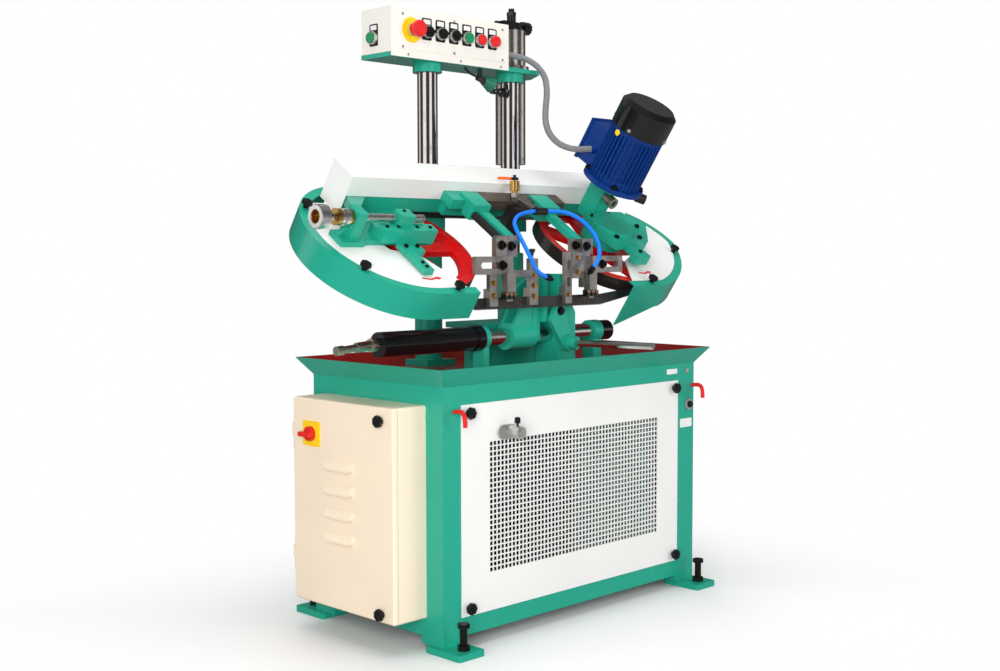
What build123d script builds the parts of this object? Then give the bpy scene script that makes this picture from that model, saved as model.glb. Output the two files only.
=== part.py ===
from build123d import *
import os
from math import cos, radians, sin, tan

os.makedirs("parts", exist_ok=True)

# base frame and tray
base_length = 870
base_depth = 444
frame_top = 570
post_side = 70
post_wall = 4
rail_height = 70
rail_depth = 40
low_rail_bottom = 30
low_rail_height = 55
sheet = 3
foot_thickness = 14
foot_width = 74
foot_depth = 107
foot_corner = 5
bolt_inset = 24
bolt_reach = 36
bolt_margin = 27
bolt_radius = 8
bolt_height = 62
bolt_play = 1
bearer_xs = (-260, 70)
bearer_width = 40
bearer_top = 50
tank_height = 140
tank_depth = 220
tank_overhang = 20
pump_left = -20
pump_width = 46
pump_depth = 90
pump_rise = 45
pump_motor_inset = 90
pump_radius = 62
pump_height = 170
pump_cap_wall = 4
pump_cap_height = 55
tray_height = 40
tray_flare = 30
tray_floor = 4
tray_wall = 3

# front panel with its perforated field
panel_left = -383
panel_right = 366
panel_bottom = 71
panel_top = 529
field_left = -300
field_right = 285
field_bottom = 155
field_top = 444
field_columns = 18
field_rows = 9
field_open = 0.68
knob_radius = 13
knob_height = 16
knob_inset = 18

# electrical cabinet on the left side
cabinet_depth = 78
cabinet_width = 348
cabinet_height = 460
cabinet_y = 5
cabinet_bottom = 69
cabinet_wall = 2
cabinet_corner = 6
door_thickness = 11.5
door_gap = 1.5
door_edge = 5
louvre_length = 94
louvre_height = 22
louvre_rise = 9
louvre_corner = 9
louvre_pitch = 53
louvre_count = 4
louvre_shift = 7
louvre_mid_height = 240
press_depth = 1
door_knob_y = -131
door_knob_low = 20
door_knob_high = 29
hinge_barrel = 5
hinge_pin = 3
hinge_length = 30
hinge_low = 60
hinge_high = 120
hinge_leaf = 22
door_leaf = 10
hinge_play = 0.5
pin_clearance = 0.3
isolator_y = 109
isolator_z = 451
isolator_stem = 5
isolator_pocket = 2
isolator_end_play = 0.5
isolator_bore = 40
isolator_boss = 17
isolator_boss_height = 9
isolator_taper = 8
isolator_grip_length = 40
isolator_grip_width = 11
isolator_grip_height = 14
isolator_overlap = 1
plate_stand = 3.3

# flow valve on the front panel
valve_x = -248
valve_z = 460
valve_radius = 14
valve_length = 35
valve_flange_length = 58
valve_flange_width = 32
valve_flange_thickness = 4
valve_body_shift = 8
valve_tip_radius = 8.4
valve_tip_length = 5
lever_radius = 2.5
lever_reach = 26
lever_bore = 30
lever_seat = 4
lever_length = 18
lever_knob_radius = 6.5
lever_knob_length = 13
lever_knob_sink = 2
lever_knob_edge = 2

# columns and top plate
column_radius = 25
column_left_x = -107
column_right_x = 182
socket_wall = 9
socket_back = 220
column_y = socket_back - socket_wall - column_radius
column_top = 1312
socket_flange = 46
socket_flange_thickness = 14
socket_top = 850
plate_thickness = 11
plate_left = -262
plate_right = 244
plate_front = 140
plate_back = 250
collar_wall = 11
collar_height = 22
eye_wall = 12
eye_shoulder = 26

# control box and its devices
box_left = -262
box_right = 128
box_depth = 107
box_height = 105
box_wall = 2
device_z = 55
device_pitch = 44
first_device_x = -152
estop_x = -200
estop_radius = 20
bezel_radius = 15
bezel_height = 11
bezel_floor = 1.5
button_rest = 7
barrel_radius = 11
barrel_length = 26
cap_radius = 12.4
stem_radius = 7.2
device_clearance = 0.3
box_lip = 10
hole_reach = 10
side_button_inset = 62
side_button_height = 36
cap_length = 9
cap_edge = 1
stem_short = 1
pilot_wall = 1
pilot_rise = 7
selector_play = 0.5
selector_rise = 5
selector_stem_short = 2
grip_margin = 2
grip_width = 7
grip_height = 9
estop_stand = 2
estop_neck = 12
estop_rim = 8
estop_crown = 4
estop_crown_taper = 35
conduit_radius = 8
conduit_nut_wall = 5
conduit_nut_length = 12
conduit_gland_wall = 4
conduit_gland_length = 16

# lift cylinder behind the right column
lift_x = 244
lift_y = 246
lift_radius = 40
lift_bore = 32
lift_bottom = 1085
lift_length = 352
gland_length = 20
rod_radius = 12.5
piston_clearance = 0.35
lift_cap = 12
lock_ring_wall = 9
lock_ring_sink = 2
lock_ring_height = 20
head_flange_inset = 4
head_flange_height = 5
head_left = 40
head_right = 30
head_half_depth = 16
head_height = 19
head_plug_radius = 9
head_plug_length = 14
tower_shift = 4
tower_radius = 12
tower_height = 18
tower_hex = 13
tower_hex_height = 9
tower_tip_radius = 8
tower_tip_height = 9
flow_axis_height = 14
flow_bore_start = 10
flow_bore_length = 30
flow_stem_start = 12
flow_stem_radius = 5
flow_knob_gap = 2
flow_knob_radius = 17
flow_knob_length = 26
flow_flutes = 12
flow_flute_radius = 2

# work lamp under the top plate
lamp_x = 70
lamp_y = 165
lamp_set = 26
lamp_drop = 20
lamp_neck_radius = 9
lamp_neck_length = 18
lamp_bell_small = 11
lamp_bell_large = 21
lamp_bell_length = 30
lamp_bell_wall = 2
lamp_bell_back = 6
lamp_stem_set = 22
lamp_stem_width = 8
lamp_stem_depth = 10
lamp_stem_height = 18
lamp_cord_radius = 2.5

# vise
vise_y = -72
vise_z = 655
vise_rod = 19
left_bracket_thickness = 18
right_bracket_thickness = 30
bracket_wall = 8
bracket_neck = 36
bracket_foot = 34
bracket_foot_height = 16
left_bracket_x = -186
right_bracket_x = 196
vise_cylinder_radius = 27.5
vise_cylinder_length = 298
cylinder_collar_length = 22
cylinder_collar_wall = 3
cylinder_back_wall = 14
cylinder_gland = 12
cylinder_neck_radius = 15
cylinder_neck_length = 22
vise_piston_step = 4
vise_piston_length = 16
shaft_reach = 48
shaft_overlap = 4
fitting_sink = 2
fitting_droop = 0.08
fitting_body_radius = 11
fitting_body_length = 40
fitting_pipe_radius = 8
fitting_pipe_length = 36
fitting_end_radius = 10
fitting_end_length = 18
end_cap_wall = 6
end_cap_length = 40
end_cap_bore = 36
shaft_room = 0.5
jaw_front = -112
jaw_back = 30
jaw_lift = 2.4
jaw_top = 800
jaw_plate = 14
moving_jaw_face = 8
fixed_jaw_face = 44
bed_top = 684
boss_left = -100
boss_right = -18
boss_wall = 13
jaw_neck_overlap = 12
jaw_neck_half_depth = 26
jaw_neck_drop = 12
jaw_neck_rise = 40
jaw_side_room = 2
rib_thickness = 10
rib_front = 24
rib_back = 14
rib_top_drop = 8
rib_inset = 8
rib_heel = 26
rib_knee_x = -40
rib_knee_drop = 30
jaw_base = 60
jaw_base_drop = 10
jaw_base_rise = 20
jaw_web = 14
jaw_web_drop = 20
pedestal_back = -36
bed_left = -120
bed_back = 110
bed_thickness = 14
keel_front = 20
keel_back = 44
jaw_rear_stop = 60
through = 500
arm_thickness = 12
stop_x = 22
stop_z = 634
stop_boss_radius = 20
stop_boss_height = 10
stop_turn = 13
stop_sleeve_radius = 16
stop_sleeve_sink = 6
stop_sleeve_length = 22
stop_bore_sink = 4
stop_bore_length = 40
stop_rod_radius = 8
stop_rod_sink = 3
stop_rod_length = 220
running_clearance = 0.08

# saw bow, tilted about X
tilt = 34
bow_y = -197
bow_z = 768.5
beam_left = -480
beam_right = 358
beam_v = 305
beam_depth = 70
beam_n = 5
beam_height = 87
beam_wall = 5
beam_corner_extra = 1
beam_inner_corner = 3
sleeve_wall = 17
sleeve_bottom = 905
sleeve_top = 1058
web_width = 68
web_sink = 3
web_low_inset = 2
web_high_inset = 26
web_fall = 4
web_top_drop = 8
lug_wall = 14
lug_thickness = 20
piston_length = 22
piston_lift = 44
rod_tail = 18
rod_nut_height = 14
rod_nut_wall = 9
bar_left = -212
bar_right = 170
bar_depth = 40
bar_n = 45
bar_height = 25
bar_web_inset = 10
bar_web_depth = 20
bar_web_lap = 2
bar_web_rise = 8
hood_sheet = 3
hood_lip = 46
hood_overhang = 10
hood_back_lip = 8
hood_end_drop = 8

# wheels and band
wheel_radius = 172
wheel_v = 200
idler_u = -368
drive_u = 290
wheel_front = -10
wheel_width = 32
rim_thickness = 22
hub_radius = 36
hub_proud = 6
wheel_arms = 5
arm_wide = 40
arm_thick = 14
rim_root = 12
hub_root = 14
arm_sink = 2
arm_short = 6
shaft_radius = 17
shaft_end = 40
axle_radius = 15
washer_wall = 8
shaft_washer = 5
axle_washer = 5.7
axle_tail = 6
band_width = 27
band_thickness = 1
band_gap = 0.3
band_room = 1.5
band_n = -38
band_guide_y = -150
band_guide_z = 737
guide_zone_left = -270
guide_zone_right = 150
twist_left = -330
twist_right = 260
cut_margin = 5
cut_over = 1

# guards round the wheels
guard_sheet = 3
left_guard_depth = 68
right_guard_depth = 66
rim_flange = 20
panel_gap = 0.5
left_centre_u = -402
left_centre_v = 208
left_reach = 212
guard_inner_left = -302
guard_inner_right = 228
right_floor = 2
right_bend_u = 360
right_guard_point = 54
point_back = 7
left_sweep = 170
panel_sweep = 130
right_bow_spot = (500, 80)
right_side_spot = (585, 190)
right_crown_spot = (580, 265)
right_end = (530, 340)
guard_knob_radius = 12
guard_knob_height = 18
guard_knob_turns = (144, 216.5)
left_knob_inset = 57
right_knob_inset = 79
right_knob_spot = (538, 150)

# motor and gearbox
motor_u = 278
motor_v = 240
flange_n = 148
flange_radius = 80
flange_thickness = 12
housing_n = 26
housing_height = 24
fin_height = 9
fin_count = 36
fin_thickness = 3.4
motor_radius = 69
motor_length = 140
fan_length = 72
fan_cover_wall = 3
fan_cover_edge = 12
shield_inset = 4
shield_length = 18
end_ring_inset = 2
end_ring_length = 12
terminal_width = 90
terminal_inset = 45
terminal_depth = 60
terminal_sink = 4
terminal_length = 110
terminal_rise = 5
lid_thickness = 7
lid_lap = 3
housing_post_wall = 20
housing_foot = (90, 120)
housing_foot_half = 20
housing_boss_wall = 22
housing_boss_shift = 8
housing_boss_height = 8
housing_boss_taper = 8
housing_outline = ((-54, -10), (-28, 62), (110, 62), (150, 0), (82, -76), (-40, -82))
gear_arm_width = 44
gear_arm_v = (-124, -70)
gear_arm_n = (-26, -10)
gear_toe_sink = 4
gear_toe_v = (-130, -106)
gear_toe_n = (-36, -10)
gear_neck_width = 47
gear_neck_sink = 1
gear_neck_inset = 10
spigot_inset = 28
spigot_height = 12
oil_cup_shift = 11
oil_cup_drop = 46
oil_cup_neck = 10
oil_cup_neck_length = 16
oil_cup_radius = 15
oil_cup_length = 20
oil_cup_bore = 8
oil_cup_floor = 8
plug_radius = 6
plug_length = 80
plug_head_radius = 13
plug_head_start = 70
plug_head_length = 24
plug_u = 34
plug_v = 20
plug_drop = 24
plug_aim = (0.8, -0.6)

# tension gear
slide_left = -470
slide_right = -320
slide_v = 166
slide_depth = 50
slide_n = 12
slide_height = 34
slide_step = 12
slide_crown = 0.55
slide_floor = 3
nut_half = 19
nut_front = 20
nut_back = 4
nut_cover = 8
slide_arm = (46, 102)
slide_arm_reach = 34
slide_finger = (48, 74)
slide_finger_reach = 106
slide_arm_rise = 4
screw_v = 200
screw_n = 56
screw_radius = 8.5
screw_neck = 6.5
handwheel_u = -628
handwheel_radius = 26
handwheel_bore = 15
handwheel_width = 24
handwheel_hub = 10
handwheel_hub_length = 18
handwheel_edge = 2
handwheel_web = 8
handwheel_web_sink = 6
handwheel_web_lap = 3
spring_dish = 2
ways_thickness = 12
ways_left = -508
ways_right = -312
ways_front = 178
foot_left = -570
foot_front = 170
foot_back_reach = 20
ways_back_gap = 8
ways_rail_inset = 6
ways_rail_depth = 20
ways_rail_lap = 3
slot_play = 2
slot_side_play = 1
tension_travel = 12
bracket_u = -546
bracket_width = 26
bracket_half = 20
bracket_root_inset = 24
bracket_root_lap = 2
bracket_root_drop = 12
bracket_root_height = 20
bracket_tip_back = 12
bracket_tip_rise = 8
bracket_tip_height = 24
gusset_thickness = 12
gusset_drop = 22
gusset_reach = 22
nut_u = -405
screw_end = -345
spring_count = 4
spring_pitch = 11
spring_radius = 18

# band guides
left_arm_u = -136
right_arm_u = 89
arm_width = 26
arm_end_v = 106
clamp_depth = 32
clamp_low = 36
clamp_rise = 6
clamp_lip = 26
arm_n_low = 48
arm_n_high = 62
left_clamp = (-36, 18)
right_clamp = (-30, 30)
stay_bar_shift = -25
stay_bar_n = 50
stay_bar_radius = 9.5
stay_bar_length = 100
backing_gap = 1
backing_thickness = 12
left_backing = (-64, 1)
left_backing_z = (842, 890)
left_post = (-78, -44)
left_post_back = 4
left_post_sink = 16
left_post_top = 886
left_plate = (-288, -172)
left_slot_x = -238
left_pads = ((-236, -210, 812), (-108, -80, 838))
link_x = (-176, -104)
link_y = (-18, -8)
link_z = (796, 812)
right_backing = (-40, 36)
right_backing_z = (846, 884)
right_post_half = 14
right_post_back = 2
right_post_bottom = 768
right_pad = (14, 36, 852)
right_bridge_y = (-14, 4)
right_bridge_bottom = 790
right_plate_start = 10
right_plate_end = 209
right_slot_x = 168
pad_slot_zs = (782, 822)
pad_slot_length = 22
pad_slot_width = 13
pad_slot_depth = 14
pad_screw_front = 6
pad_screw_radius = 3
pad_screw_length = 12
pad_knob_rise = 8
pad_knob_radius = 7
pad_knob_height = 14
pad_gap = 0.4
pad_lift = 8
pad_front = 12
pad_rear = 9
pad_bridge = 20
pad_bridge_gap = 2
plate_z = 823
plate_high = 40
plate_front_y = 22
plate_rear_y = 10
left_slot_half = 27
right_slot_half = 17
slot_radius = 7
roller_radius = 19
roller_height = 14
roller_lift = 11
roller_pin = 5
roller_head_wall = 4
roller_head_height = 4.6
pin_tail = 5
pin_rise = 1
holder_half = 13
holder_front = 9
holder_gap = 0.4
holder_lap = 4
left_roller_x = -184
right_roller_x = 94

# coolant fittings
coolant_u = -8
coolant_v = 266
tee_u = 32
tee_v = 213
tee_n = 75
tee_half = 20
lever_pin = 4
spout_radius = 9
spout_height = 10
valve_nut = 11
valve_nut_start = 8
valve_nut_height = 11
valve_neck = 7
valve_neck_start = 18
valve_neck_height = 8
valve_ball = 12
valve_ball_start = 24
valve_ball_height = 24
valve_pin_length = 14
elbow_height = 12
pipe_radius = 7
tee_wall = 4
stay_u = (-22, 14)
stay_depth = 24
stay_low = -8
stay_drop = 8
handle_gap = 2
handle_shift = 22
handle_length = 66
handle_width = 15
handle_thickness = 6
hose_radius = 5
nozzle_wall = 2
nozzle_length = 14
nozzle_tip_step = 1
nozzle_tip_length = 8

bow_plane = Plane(
    origin=(0, bow_y, bow_z),
    x_dir=(1, 0, 0),
    z_dir=(0, -sin(radians(tilt)), cos(radians(tilt))),
)


def on_bow(u, v, n):
    """Flat on the bow: x to the right, y up the bow, facing out of its front."""
    spot = bow_plane.from_local_coords(Vector(u, v, n))
    return Plane(spot, x_dir=bow_plane.x_dir, z_dir=bow_plane.z_dir)


def across_bow(u, v, n):
    """Across the bow: x up the bow, y out of its front, facing right."""
    spot = bow_plane.from_local_coords(Vector(u, v, n))
    return Plane(spot, x_dir=bow_plane.y_dir, z_dir=bow_plane.x_dir)


def down_bow(u, v, n):
    """Down the bow: x to the right, y out of its front, facing the cutting side."""
    spot = bow_plane.from_local_coords(Vector(u, v, n))
    return Plane(spot, x_dir=bow_plane.x_dir, z_dir=-bow_plane.y_dir)


def facing_front(x, y, z):
    return Plane((x, y, z), x_dir=(1, 0, 0), z_dir=(0, -1, 0))


def facing_left(x, y, z):
    return Plane((x, y, z), x_dir=(0, -1, 0), z_dir=(-1, 0, 0))


def facing_right(x, y, z):
    return Plane((x, y, z), x_dir=(0, 1, 0), z_dir=(1, 0, 0))


def block(x, y, z, mode=Mode.ADD):
    """A box between pairs of coordinates."""
    with Locations(((x[0] + x[1]) / 2, (y[0] + y[1]) / 2, (z[0] + z[1]) / 2)):
        Box(x[1] - x[0], y[1] - y[0], z[1] - z[0], mode=mode)


def post_along(plane, radius, length, mode=Mode.ADD):
    """A round post that starts on a plane and runs along its normal."""
    with Locations(plane):
        Cylinder(radius, length, align=(Align.CENTER, Align.CENTER, Align.MIN), mode=mode)


def bow_block(u, v, n, mode=Mode.ADD):
    """A box between pairs of bow coordinates."""
    with Locations(on_bow((u[0] + u[1]) / 2, (v[0] + v[1]) / 2, (n[0] + n[1]) / 2)):
        Box(u[1] - u[0], v[1] - v[0], n[1] - n[0], mode=mode)


def save(builder, name):
    builder.part.label = name
    export_step(builder.part, f"parts/{name}.step")


half_length = base_length / 2
half_depth = base_depth / 2
bolt_spacing_x = base_length - 2 * bolt_inset
bolt_spacing_y = base_depth + 2 * bolt_reach
tray_bed = frame_top + tray_floor
tray_top = frame_top + tray_height

# four square posts on foot plates, joined by rails and closed by sheets at the sides and the back
with BuildPart() as base_frame:
    with BuildSketch(Plane.XY.offset(foot_thickness)):
        with GridLocations(base_length - post_side, base_depth - post_side, 2, 2):
            Rectangle(post_side, post_side)
            Rectangle(post_side - 2 * post_wall, post_side - 2 * post_wall, mode=Mode.SUBTRACT)
    extrude(amount=frame_top - foot_thickness)
    with BuildSketch():
        with GridLocations(bolt_spacing_x, bolt_spacing_y + 2 * bolt_margin - foot_depth, 2, 2):
            RectangleRounded(foot_width, foot_depth, foot_corner)
        with GridLocations(bolt_spacing_x, bolt_spacing_y, 2, 2):
            Circle(bolt_radius + bolt_play, mode=Mode.SUBTRACT)
    extrude(amount=foot_thickness)
    inner_x = half_length - post_side
    inner_y = half_depth - post_side
    for low, high in (
        (frame_top - rail_height, frame_top),
        (low_rail_bottom, low_rail_bottom + low_rail_height),
    ):
        for side in (-1, 1):
            front = sorted((side * half_depth, side * (half_depth - rail_depth)))
            block((-inner_x, inner_x), front, (low, high))
            flank = sorted((side * half_length, side * (half_length - rail_depth)))
            block(flank, (-inner_y, inner_y), (low, high))
    for side in (-1, 1):
        flank = sorted((side * (half_length - rail_depth), side * (half_length - rail_depth - sheet)))
        block(flank, (-inner_y, inner_y), (low_rail_bottom, frame_top))
    rear = half_depth - rail_depth
    block((-inner_x, inner_x), (rear - sheet, rear), (low_rail_bottom, frame_top))
    for x in bearer_xs:
        block((x - bearer_width / 2, x + bearer_width / 2), (-rear, rear), (low_rail_bottom, bearer_top))
save(base_frame, "base_frame")

# hexagon-headed levelling bolts standing in the foot plates
with BuildPart() as levelling_bolts:
    with BuildSketch(Plane.XY):
        with GridLocations(bolt_spacing_x, bolt_spacing_y, 2, 2):
            Circle(bolt_radius)
    extrude(amount=bolt_height)
    with BuildSketch(Plane.XY.offset(foot_thickness)):
        with GridLocations(bolt_spacing_x, bolt_spacing_y, 2, 2):
            RegularPolygon(bolt_radius * 1.7, 6)
    extrude(amount=bolt_radius * 1.4)
    with BuildSketch(Plane.XY.offset(bolt_height)):
        with GridLocations(bolt_spacing_x, bolt_spacing_y, 2, 2):
            RegularPolygon(bolt_radius * 1.7, 6)
    extrude(amount=bolt_radius * 1.2)
save(levelling_bolts, "levelling_bolts")

panel_width = panel_right - panel_left
panel_height = panel_top - panel_bottom
panel_x = (panel_left + panel_right) / 2
panel_z = (panel_bottom + panel_top) / 2
field_width = field_right - field_left
field_height = field_top - field_bottom
field_pitch_x = field_width / field_columns
field_pitch_z = field_height / field_rows

# removable front panel with its field of square holes
with BuildPart() as front_panel:
    with BuildSketch(facing_front(panel_x, -half_depth, panel_z)):
        Rectangle(panel_width, panel_height)
        with Locations(((field_left + field_right) / 2 - panel_x, (field_bottom + field_top) / 2 - panel_z)):
            with GridLocations(field_pitch_x, field_pitch_z, field_columns, field_rows):
                Rectangle(field_pitch_x * field_open, field_pitch_z * field_open, mode=Mode.SUBTRACT)
    extrude(amount=sheet)
save(front_panel, "front_panel")


def knob(plane, radius, height):
    """Profile of a hand knob turned about the normal of its plane."""
    with BuildPart() as turned:
        with BuildSketch(plane):
            Circle(radius * 0.55)
        extrude(amount=height * 0.4)
        with BuildSketch(plane.offset(height * 0.4)):
            Circle(radius)
        extrude(amount=height * 0.6)
        chamfer(turned.edges().group_by(Axis(plane.origin, plane.z_dir))[-1], radius * 0.15)
    return turned.part


panel_face = -half_depth - sheet
with BuildPart() as panel_knobs:
    for x in (panel_left + knob_inset, panel_right - knob_inset):
        for z in (panel_bottom + knob_inset, panel_top - knob_inset):
            add(knob(facing_front(x, panel_face, z), knob_radius, knob_height))
save(panel_knobs, "panel_knobs")

# flared drip tray
with BuildPart() as tray:
    with BuildSketch(Plane.XY.offset(frame_top)):
        Rectangle(base_length, base_depth)
    with BuildSketch(Plane.XY.offset(tray_top)):
        Rectangle(base_length + 2 * tray_flare, base_depth + 2 * tray_flare)
    loft()
    floor_step = tray_flare * tray_floor / tray_height
    with BuildSketch(Plane.XY.offset(tray_bed)):
        Rectangle(base_length + 2 * (floor_step - tray_wall), base_depth + 2 * (floor_step - tray_wall))
    with BuildSketch(Plane.XY.offset(tray_top)):
        Rectangle(base_length + 2 * (tray_flare - tray_wall), base_depth + 2 * (tray_flare - tray_wall))
    loft(mode=Mode.SUBTRACT)
save(tray, "tray")

cabinet_z = cabinet_bottom + cabinet_height / 2
cabinet_mouth = -half_length - cabinet_depth
door_back = cabinet_mouth - door_gap
door_face = door_back - door_thickness
cabinet_rear = cabinet_y + cabinet_width / 2
hinge_y = cabinet_rear + hinge_barrel + hinge_play
hinge_heights = (cabinet_bottom + hinge_low, cabinet_bottom + cabinet_height - hinge_high)

# cabinet body, open to the left, with the lower halves of its two hinges
with BuildPart() as cabinet:
    with BuildSketch(facing_left(-half_length, cabinet_y, cabinet_z)):
        RectangleRounded(cabinet_width, cabinet_height, cabinet_corner)
    extrude(amount=cabinet_depth)
    with BuildSketch(facing_left(-half_length - cabinet_wall, cabinet_y, cabinet_z)):
        inner_width = cabinet_width - 2 * cabinet_wall
        inner_height = cabinet_height - 2 * cabinet_wall
        RectangleRounded(inner_width, inner_height, cabinet_corner - cabinet_wall)
    extrude(amount=cabinet_depth, mode=Mode.SUBTRACT)
    for height in hinge_heights:
        block((cabinet_mouth, cabinet_mouth + hinge_leaf), (cabinet_rear, hinge_y), (height, height + hinge_length))
        with Locations((door_back, hinge_y, height + hinge_length / 2)):
            Cylinder(hinge_barrel, hinge_length)
        with Locations((door_back, hinge_y, height + hinge_length)):
            Cylinder(hinge_pin, 2 * hinge_length)
save(cabinet, "cabinet")

louvre_y = cabinet_y + louvre_shift
louvre_middle = cabinet_bottom + louvre_mid_height


def louvre(z):
    """Pressed hood over a vent: flat below and falling back to the door above."""
    half = louvre_height / 2
    with BuildPart() as pressed:
        with BuildSketch(facing_left(door_face + press_depth, louvre_y, z)):
            RectangleRounded(louvre_length, louvre_height, louvre_corner)
        extrude(amount=louvre_rise + press_depth)
        with BuildSketch(Plane((door_face, louvre_y, z), x_dir=(-1, 0, 0), z_dir=(0, 1, 0))):
            with BuildLine():
                Polyline(
                    (-press_depth, -half),
                    (louvre_rise, -half),
                    (louvre_rise, -half * 0.5),
                    (louvre_rise * 0.75, half * 0.3),
                    (louvre_rise * 0.1, half),
                    (-press_depth, half),
                    close=True,
                )
            make_face()
        extrude(amount=louvre_length / 2, both=True, mode=Mode.INTERSECT)
    return pressed.part


# door with louvres, and the upper halves of the hinges
with BuildPart() as cabinet_door:
    with BuildSketch(facing_left(door_back, cabinet_y, cabinet_z)):
        RectangleRounded(cabinet_width, cabinet_height, cabinet_corner)
    extrude(amount=door_thickness)
    fillet(cabinet_door.faces().sort_by(Axis.X)[0].edges(), door_edge)
    for step in range(louvre_count):
        add(louvre(louvre_middle + louvre_pitch * (step - (louvre_count - 1) / 2)))
    stem_plane = facing_left(door_back - isolator_pocket, isolator_y, isolator_z)
    post_along(stem_plane, isolator_stem + pin_clearance, isolator_bore, Mode.SUBTRACT)
    for height in hinge_heights:
        top = height + hinge_length
        block((door_back - door_leaf, door_back), (cabinet_rear, hinge_y), (top + hinge_play, top + hinge_length))
        with Locations((door_back, hinge_y, top + (hinge_length + hinge_play) / 2)):
            Cylinder(hinge_barrel, hinge_length - hinge_play)
            Cylinder(hinge_pin + pin_clearance, hinge_length, mode=Mode.SUBTRACT)
save(cabinet_door, "cabinet_door")

with BuildPart() as door_knobs:
    for z in (cabinet_bottom + door_knob_low, cabinet_bottom + cabinet_height - door_knob_high):
        add(knob(facing_left(door_face, door_knob_y, z), knob_radius, knob_height))
save(door_knobs, "door_knobs")

# isolator handle: round boss with a grip bar, on a stem that turns in the door
with BuildPart() as isolator_handle:
    stem_start = isolator_pocket + isolator_end_play
    stem_length = door_thickness - stem_start + plate_stand + isolator_overlap
    post_along(facing_left(door_back - stem_start, isolator_y, isolator_z), isolator_stem, stem_length)
    handle_plane = facing_left(door_face - plate_stand, isolator_y, isolator_z)
    with BuildSketch(handle_plane):
        Circle(isolator_boss)
    extrude(amount=isolator_boss_height, taper=isolator_taper)
    with BuildSketch(handle_plane.offset(isolator_boss_height - isolator_overlap)):
        SlotOverall(isolator_grip_length, isolator_grip_width)
    extrude(amount=isolator_grip_height)
save(isolator_handle, "isolator_handle")

# hydraulic power unit inside the base: tank, pump block and upright motor
with BuildPart() as hydraulic_unit:
    tank_top = bearer_top + tank_height
    tank_x = (bearer_xs[0] - tank_overhang, bearer_xs[1] + tank_overhang)
    block(tank_x, (-tank_depth / 2, tank_depth / 2), (bearer_top, tank_top))
    pump_y = (-pump_depth / 2, pump_depth / 2)
    block((pump_left, pump_left + pump_width), pump_y, (tank_top, tank_top + pump_rise))
    pump_motor_x = bearer_xs[0] + pump_motor_inset
    post_along(Plane((pump_motor_x, 0, tank_top)), pump_radius, pump_height)
    pump_cap = Plane((pump_motor_x, 0, tank_top + pump_height))
    post_along(pump_cap, pump_radius + pump_cap_wall, pump_cap_height)
save(hydraulic_unit, "hydraulic_unit")

body_x = valve_x + valve_body_shift
body_face = panel_face - valve_flange_thickness
lever_y = panel_face - lever_reach
# flow valve on the front panel: oval flange, round body with a bored end
with BuildPart() as panel_valve:
    with BuildSketch(facing_front(valve_x, panel_face, valve_z)):
        SlotOverall(valve_flange_length, valve_flange_width)
    extrude(amount=valve_flange_thickness)
    with BuildSketch(facing_front(body_x, body_face, valve_z)):
        Circle(valve_radius)
    extrude(amount=valve_length)
    with BuildSketch(facing_front(body_x, body_face - valve_length, valve_z)):
        Circle(valve_tip_radius)
    extrude(amount=valve_tip_length)
    post_along(Plane((body_x, lever_y, valve_z)), lever_radius + pin_clearance, lever_bore, Mode.SUBTRACT)
save(panel_valve, "panel_valve")

# short lever with a knob, turning in the top of the valve body
with BuildPart() as panel_valve_lever:
    post_along(Plane((body_x, lever_y, valve_z + lever_seat)), lever_radius, lever_length)
    lever_knob_z = valve_z + lever_seat + lever_length - lever_knob_sink
    post_along(Plane((body_x, lever_y, lever_knob_z)), lever_knob_radius, lever_knob_length)
    chamfer(panel_valve_lever.edges().filter_by(GeomType.CIRCLE).group_by(Axis.Z)[-1], lever_knob_edge)
save(panel_valve_lever, "panel_valve_lever")

column_xs = (column_left_x, column_right_x)
socket_radius = column_radius + socket_wall
collar_radius = column_radius + collar_wall
sleeve_radius = column_radius + sleeve_wall
# column sockets standing on the tray floor
with BuildPart() as column_sockets:
    for x in column_xs:
        flange_y = (column_y - socket_flange, half_depth)
        flange_z = (tray_bed, tray_bed + socket_flange_thickness)
        block((x - socket_flange, x + socket_flange), flange_y, flange_z)
        post_along(Plane((x, column_y, tray_bed)), socket_radius, socket_top - tray_bed)
        post_along(Plane((x, column_y, tray_bed)), column_radius + running_clearance, column_top, Mode.SUBTRACT)
    top_rims = column_sockets.edges().filter_by(GeomType.CIRCLE).group_by(Axis.Z)[-1]
    chamfer(top_rims.sort_by(SortBy.RADIUS)[-2:], socket_wall / 3)
save(column_sockets, "column_sockets")

with BuildPart() as columns:
    for x in column_xs:
        post_along(Plane((x, column_y, tray_bed)), column_radius, column_top - tray_bed)
save(columns, "columns")

# top plate with a collar round each column and an eye for the lift cylinder
eye_radius = lift_radius + eye_wall
with BuildPart() as top_plate:
    with BuildSketch(Plane.XY.offset(column_top)):
        with BuildLine():
            Polyline(
                (plate_left, plate_front),
                (plate_right, plate_front),
                (lift_x + eye_radius, lift_y - eye_shoulder),
                (lift_x + eye_radius, lift_y),
                (lift_x - eye_radius, lift_y),
                (lift_x - eye_radius, plate_back),
                (plate_left, plate_back),
                close=True,
            )
        make_face()
        with Locations((lift_x, lift_y)):
            Circle(eye_radius)
            Circle(lift_radius + running_clearance, mode=Mode.SUBTRACT)
    extrude(amount=plate_thickness)
    for x in column_xs:
        post_along(Plane((x, column_y, column_top - collar_height)), collar_radius, collar_height)
        bore = column_radius + running_clearance
        post_along(Plane((x, column_y, column_top - collar_height)), bore, collar_height, Mode.SUBTRACT)
save(top_plate, "top_plate")

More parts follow.
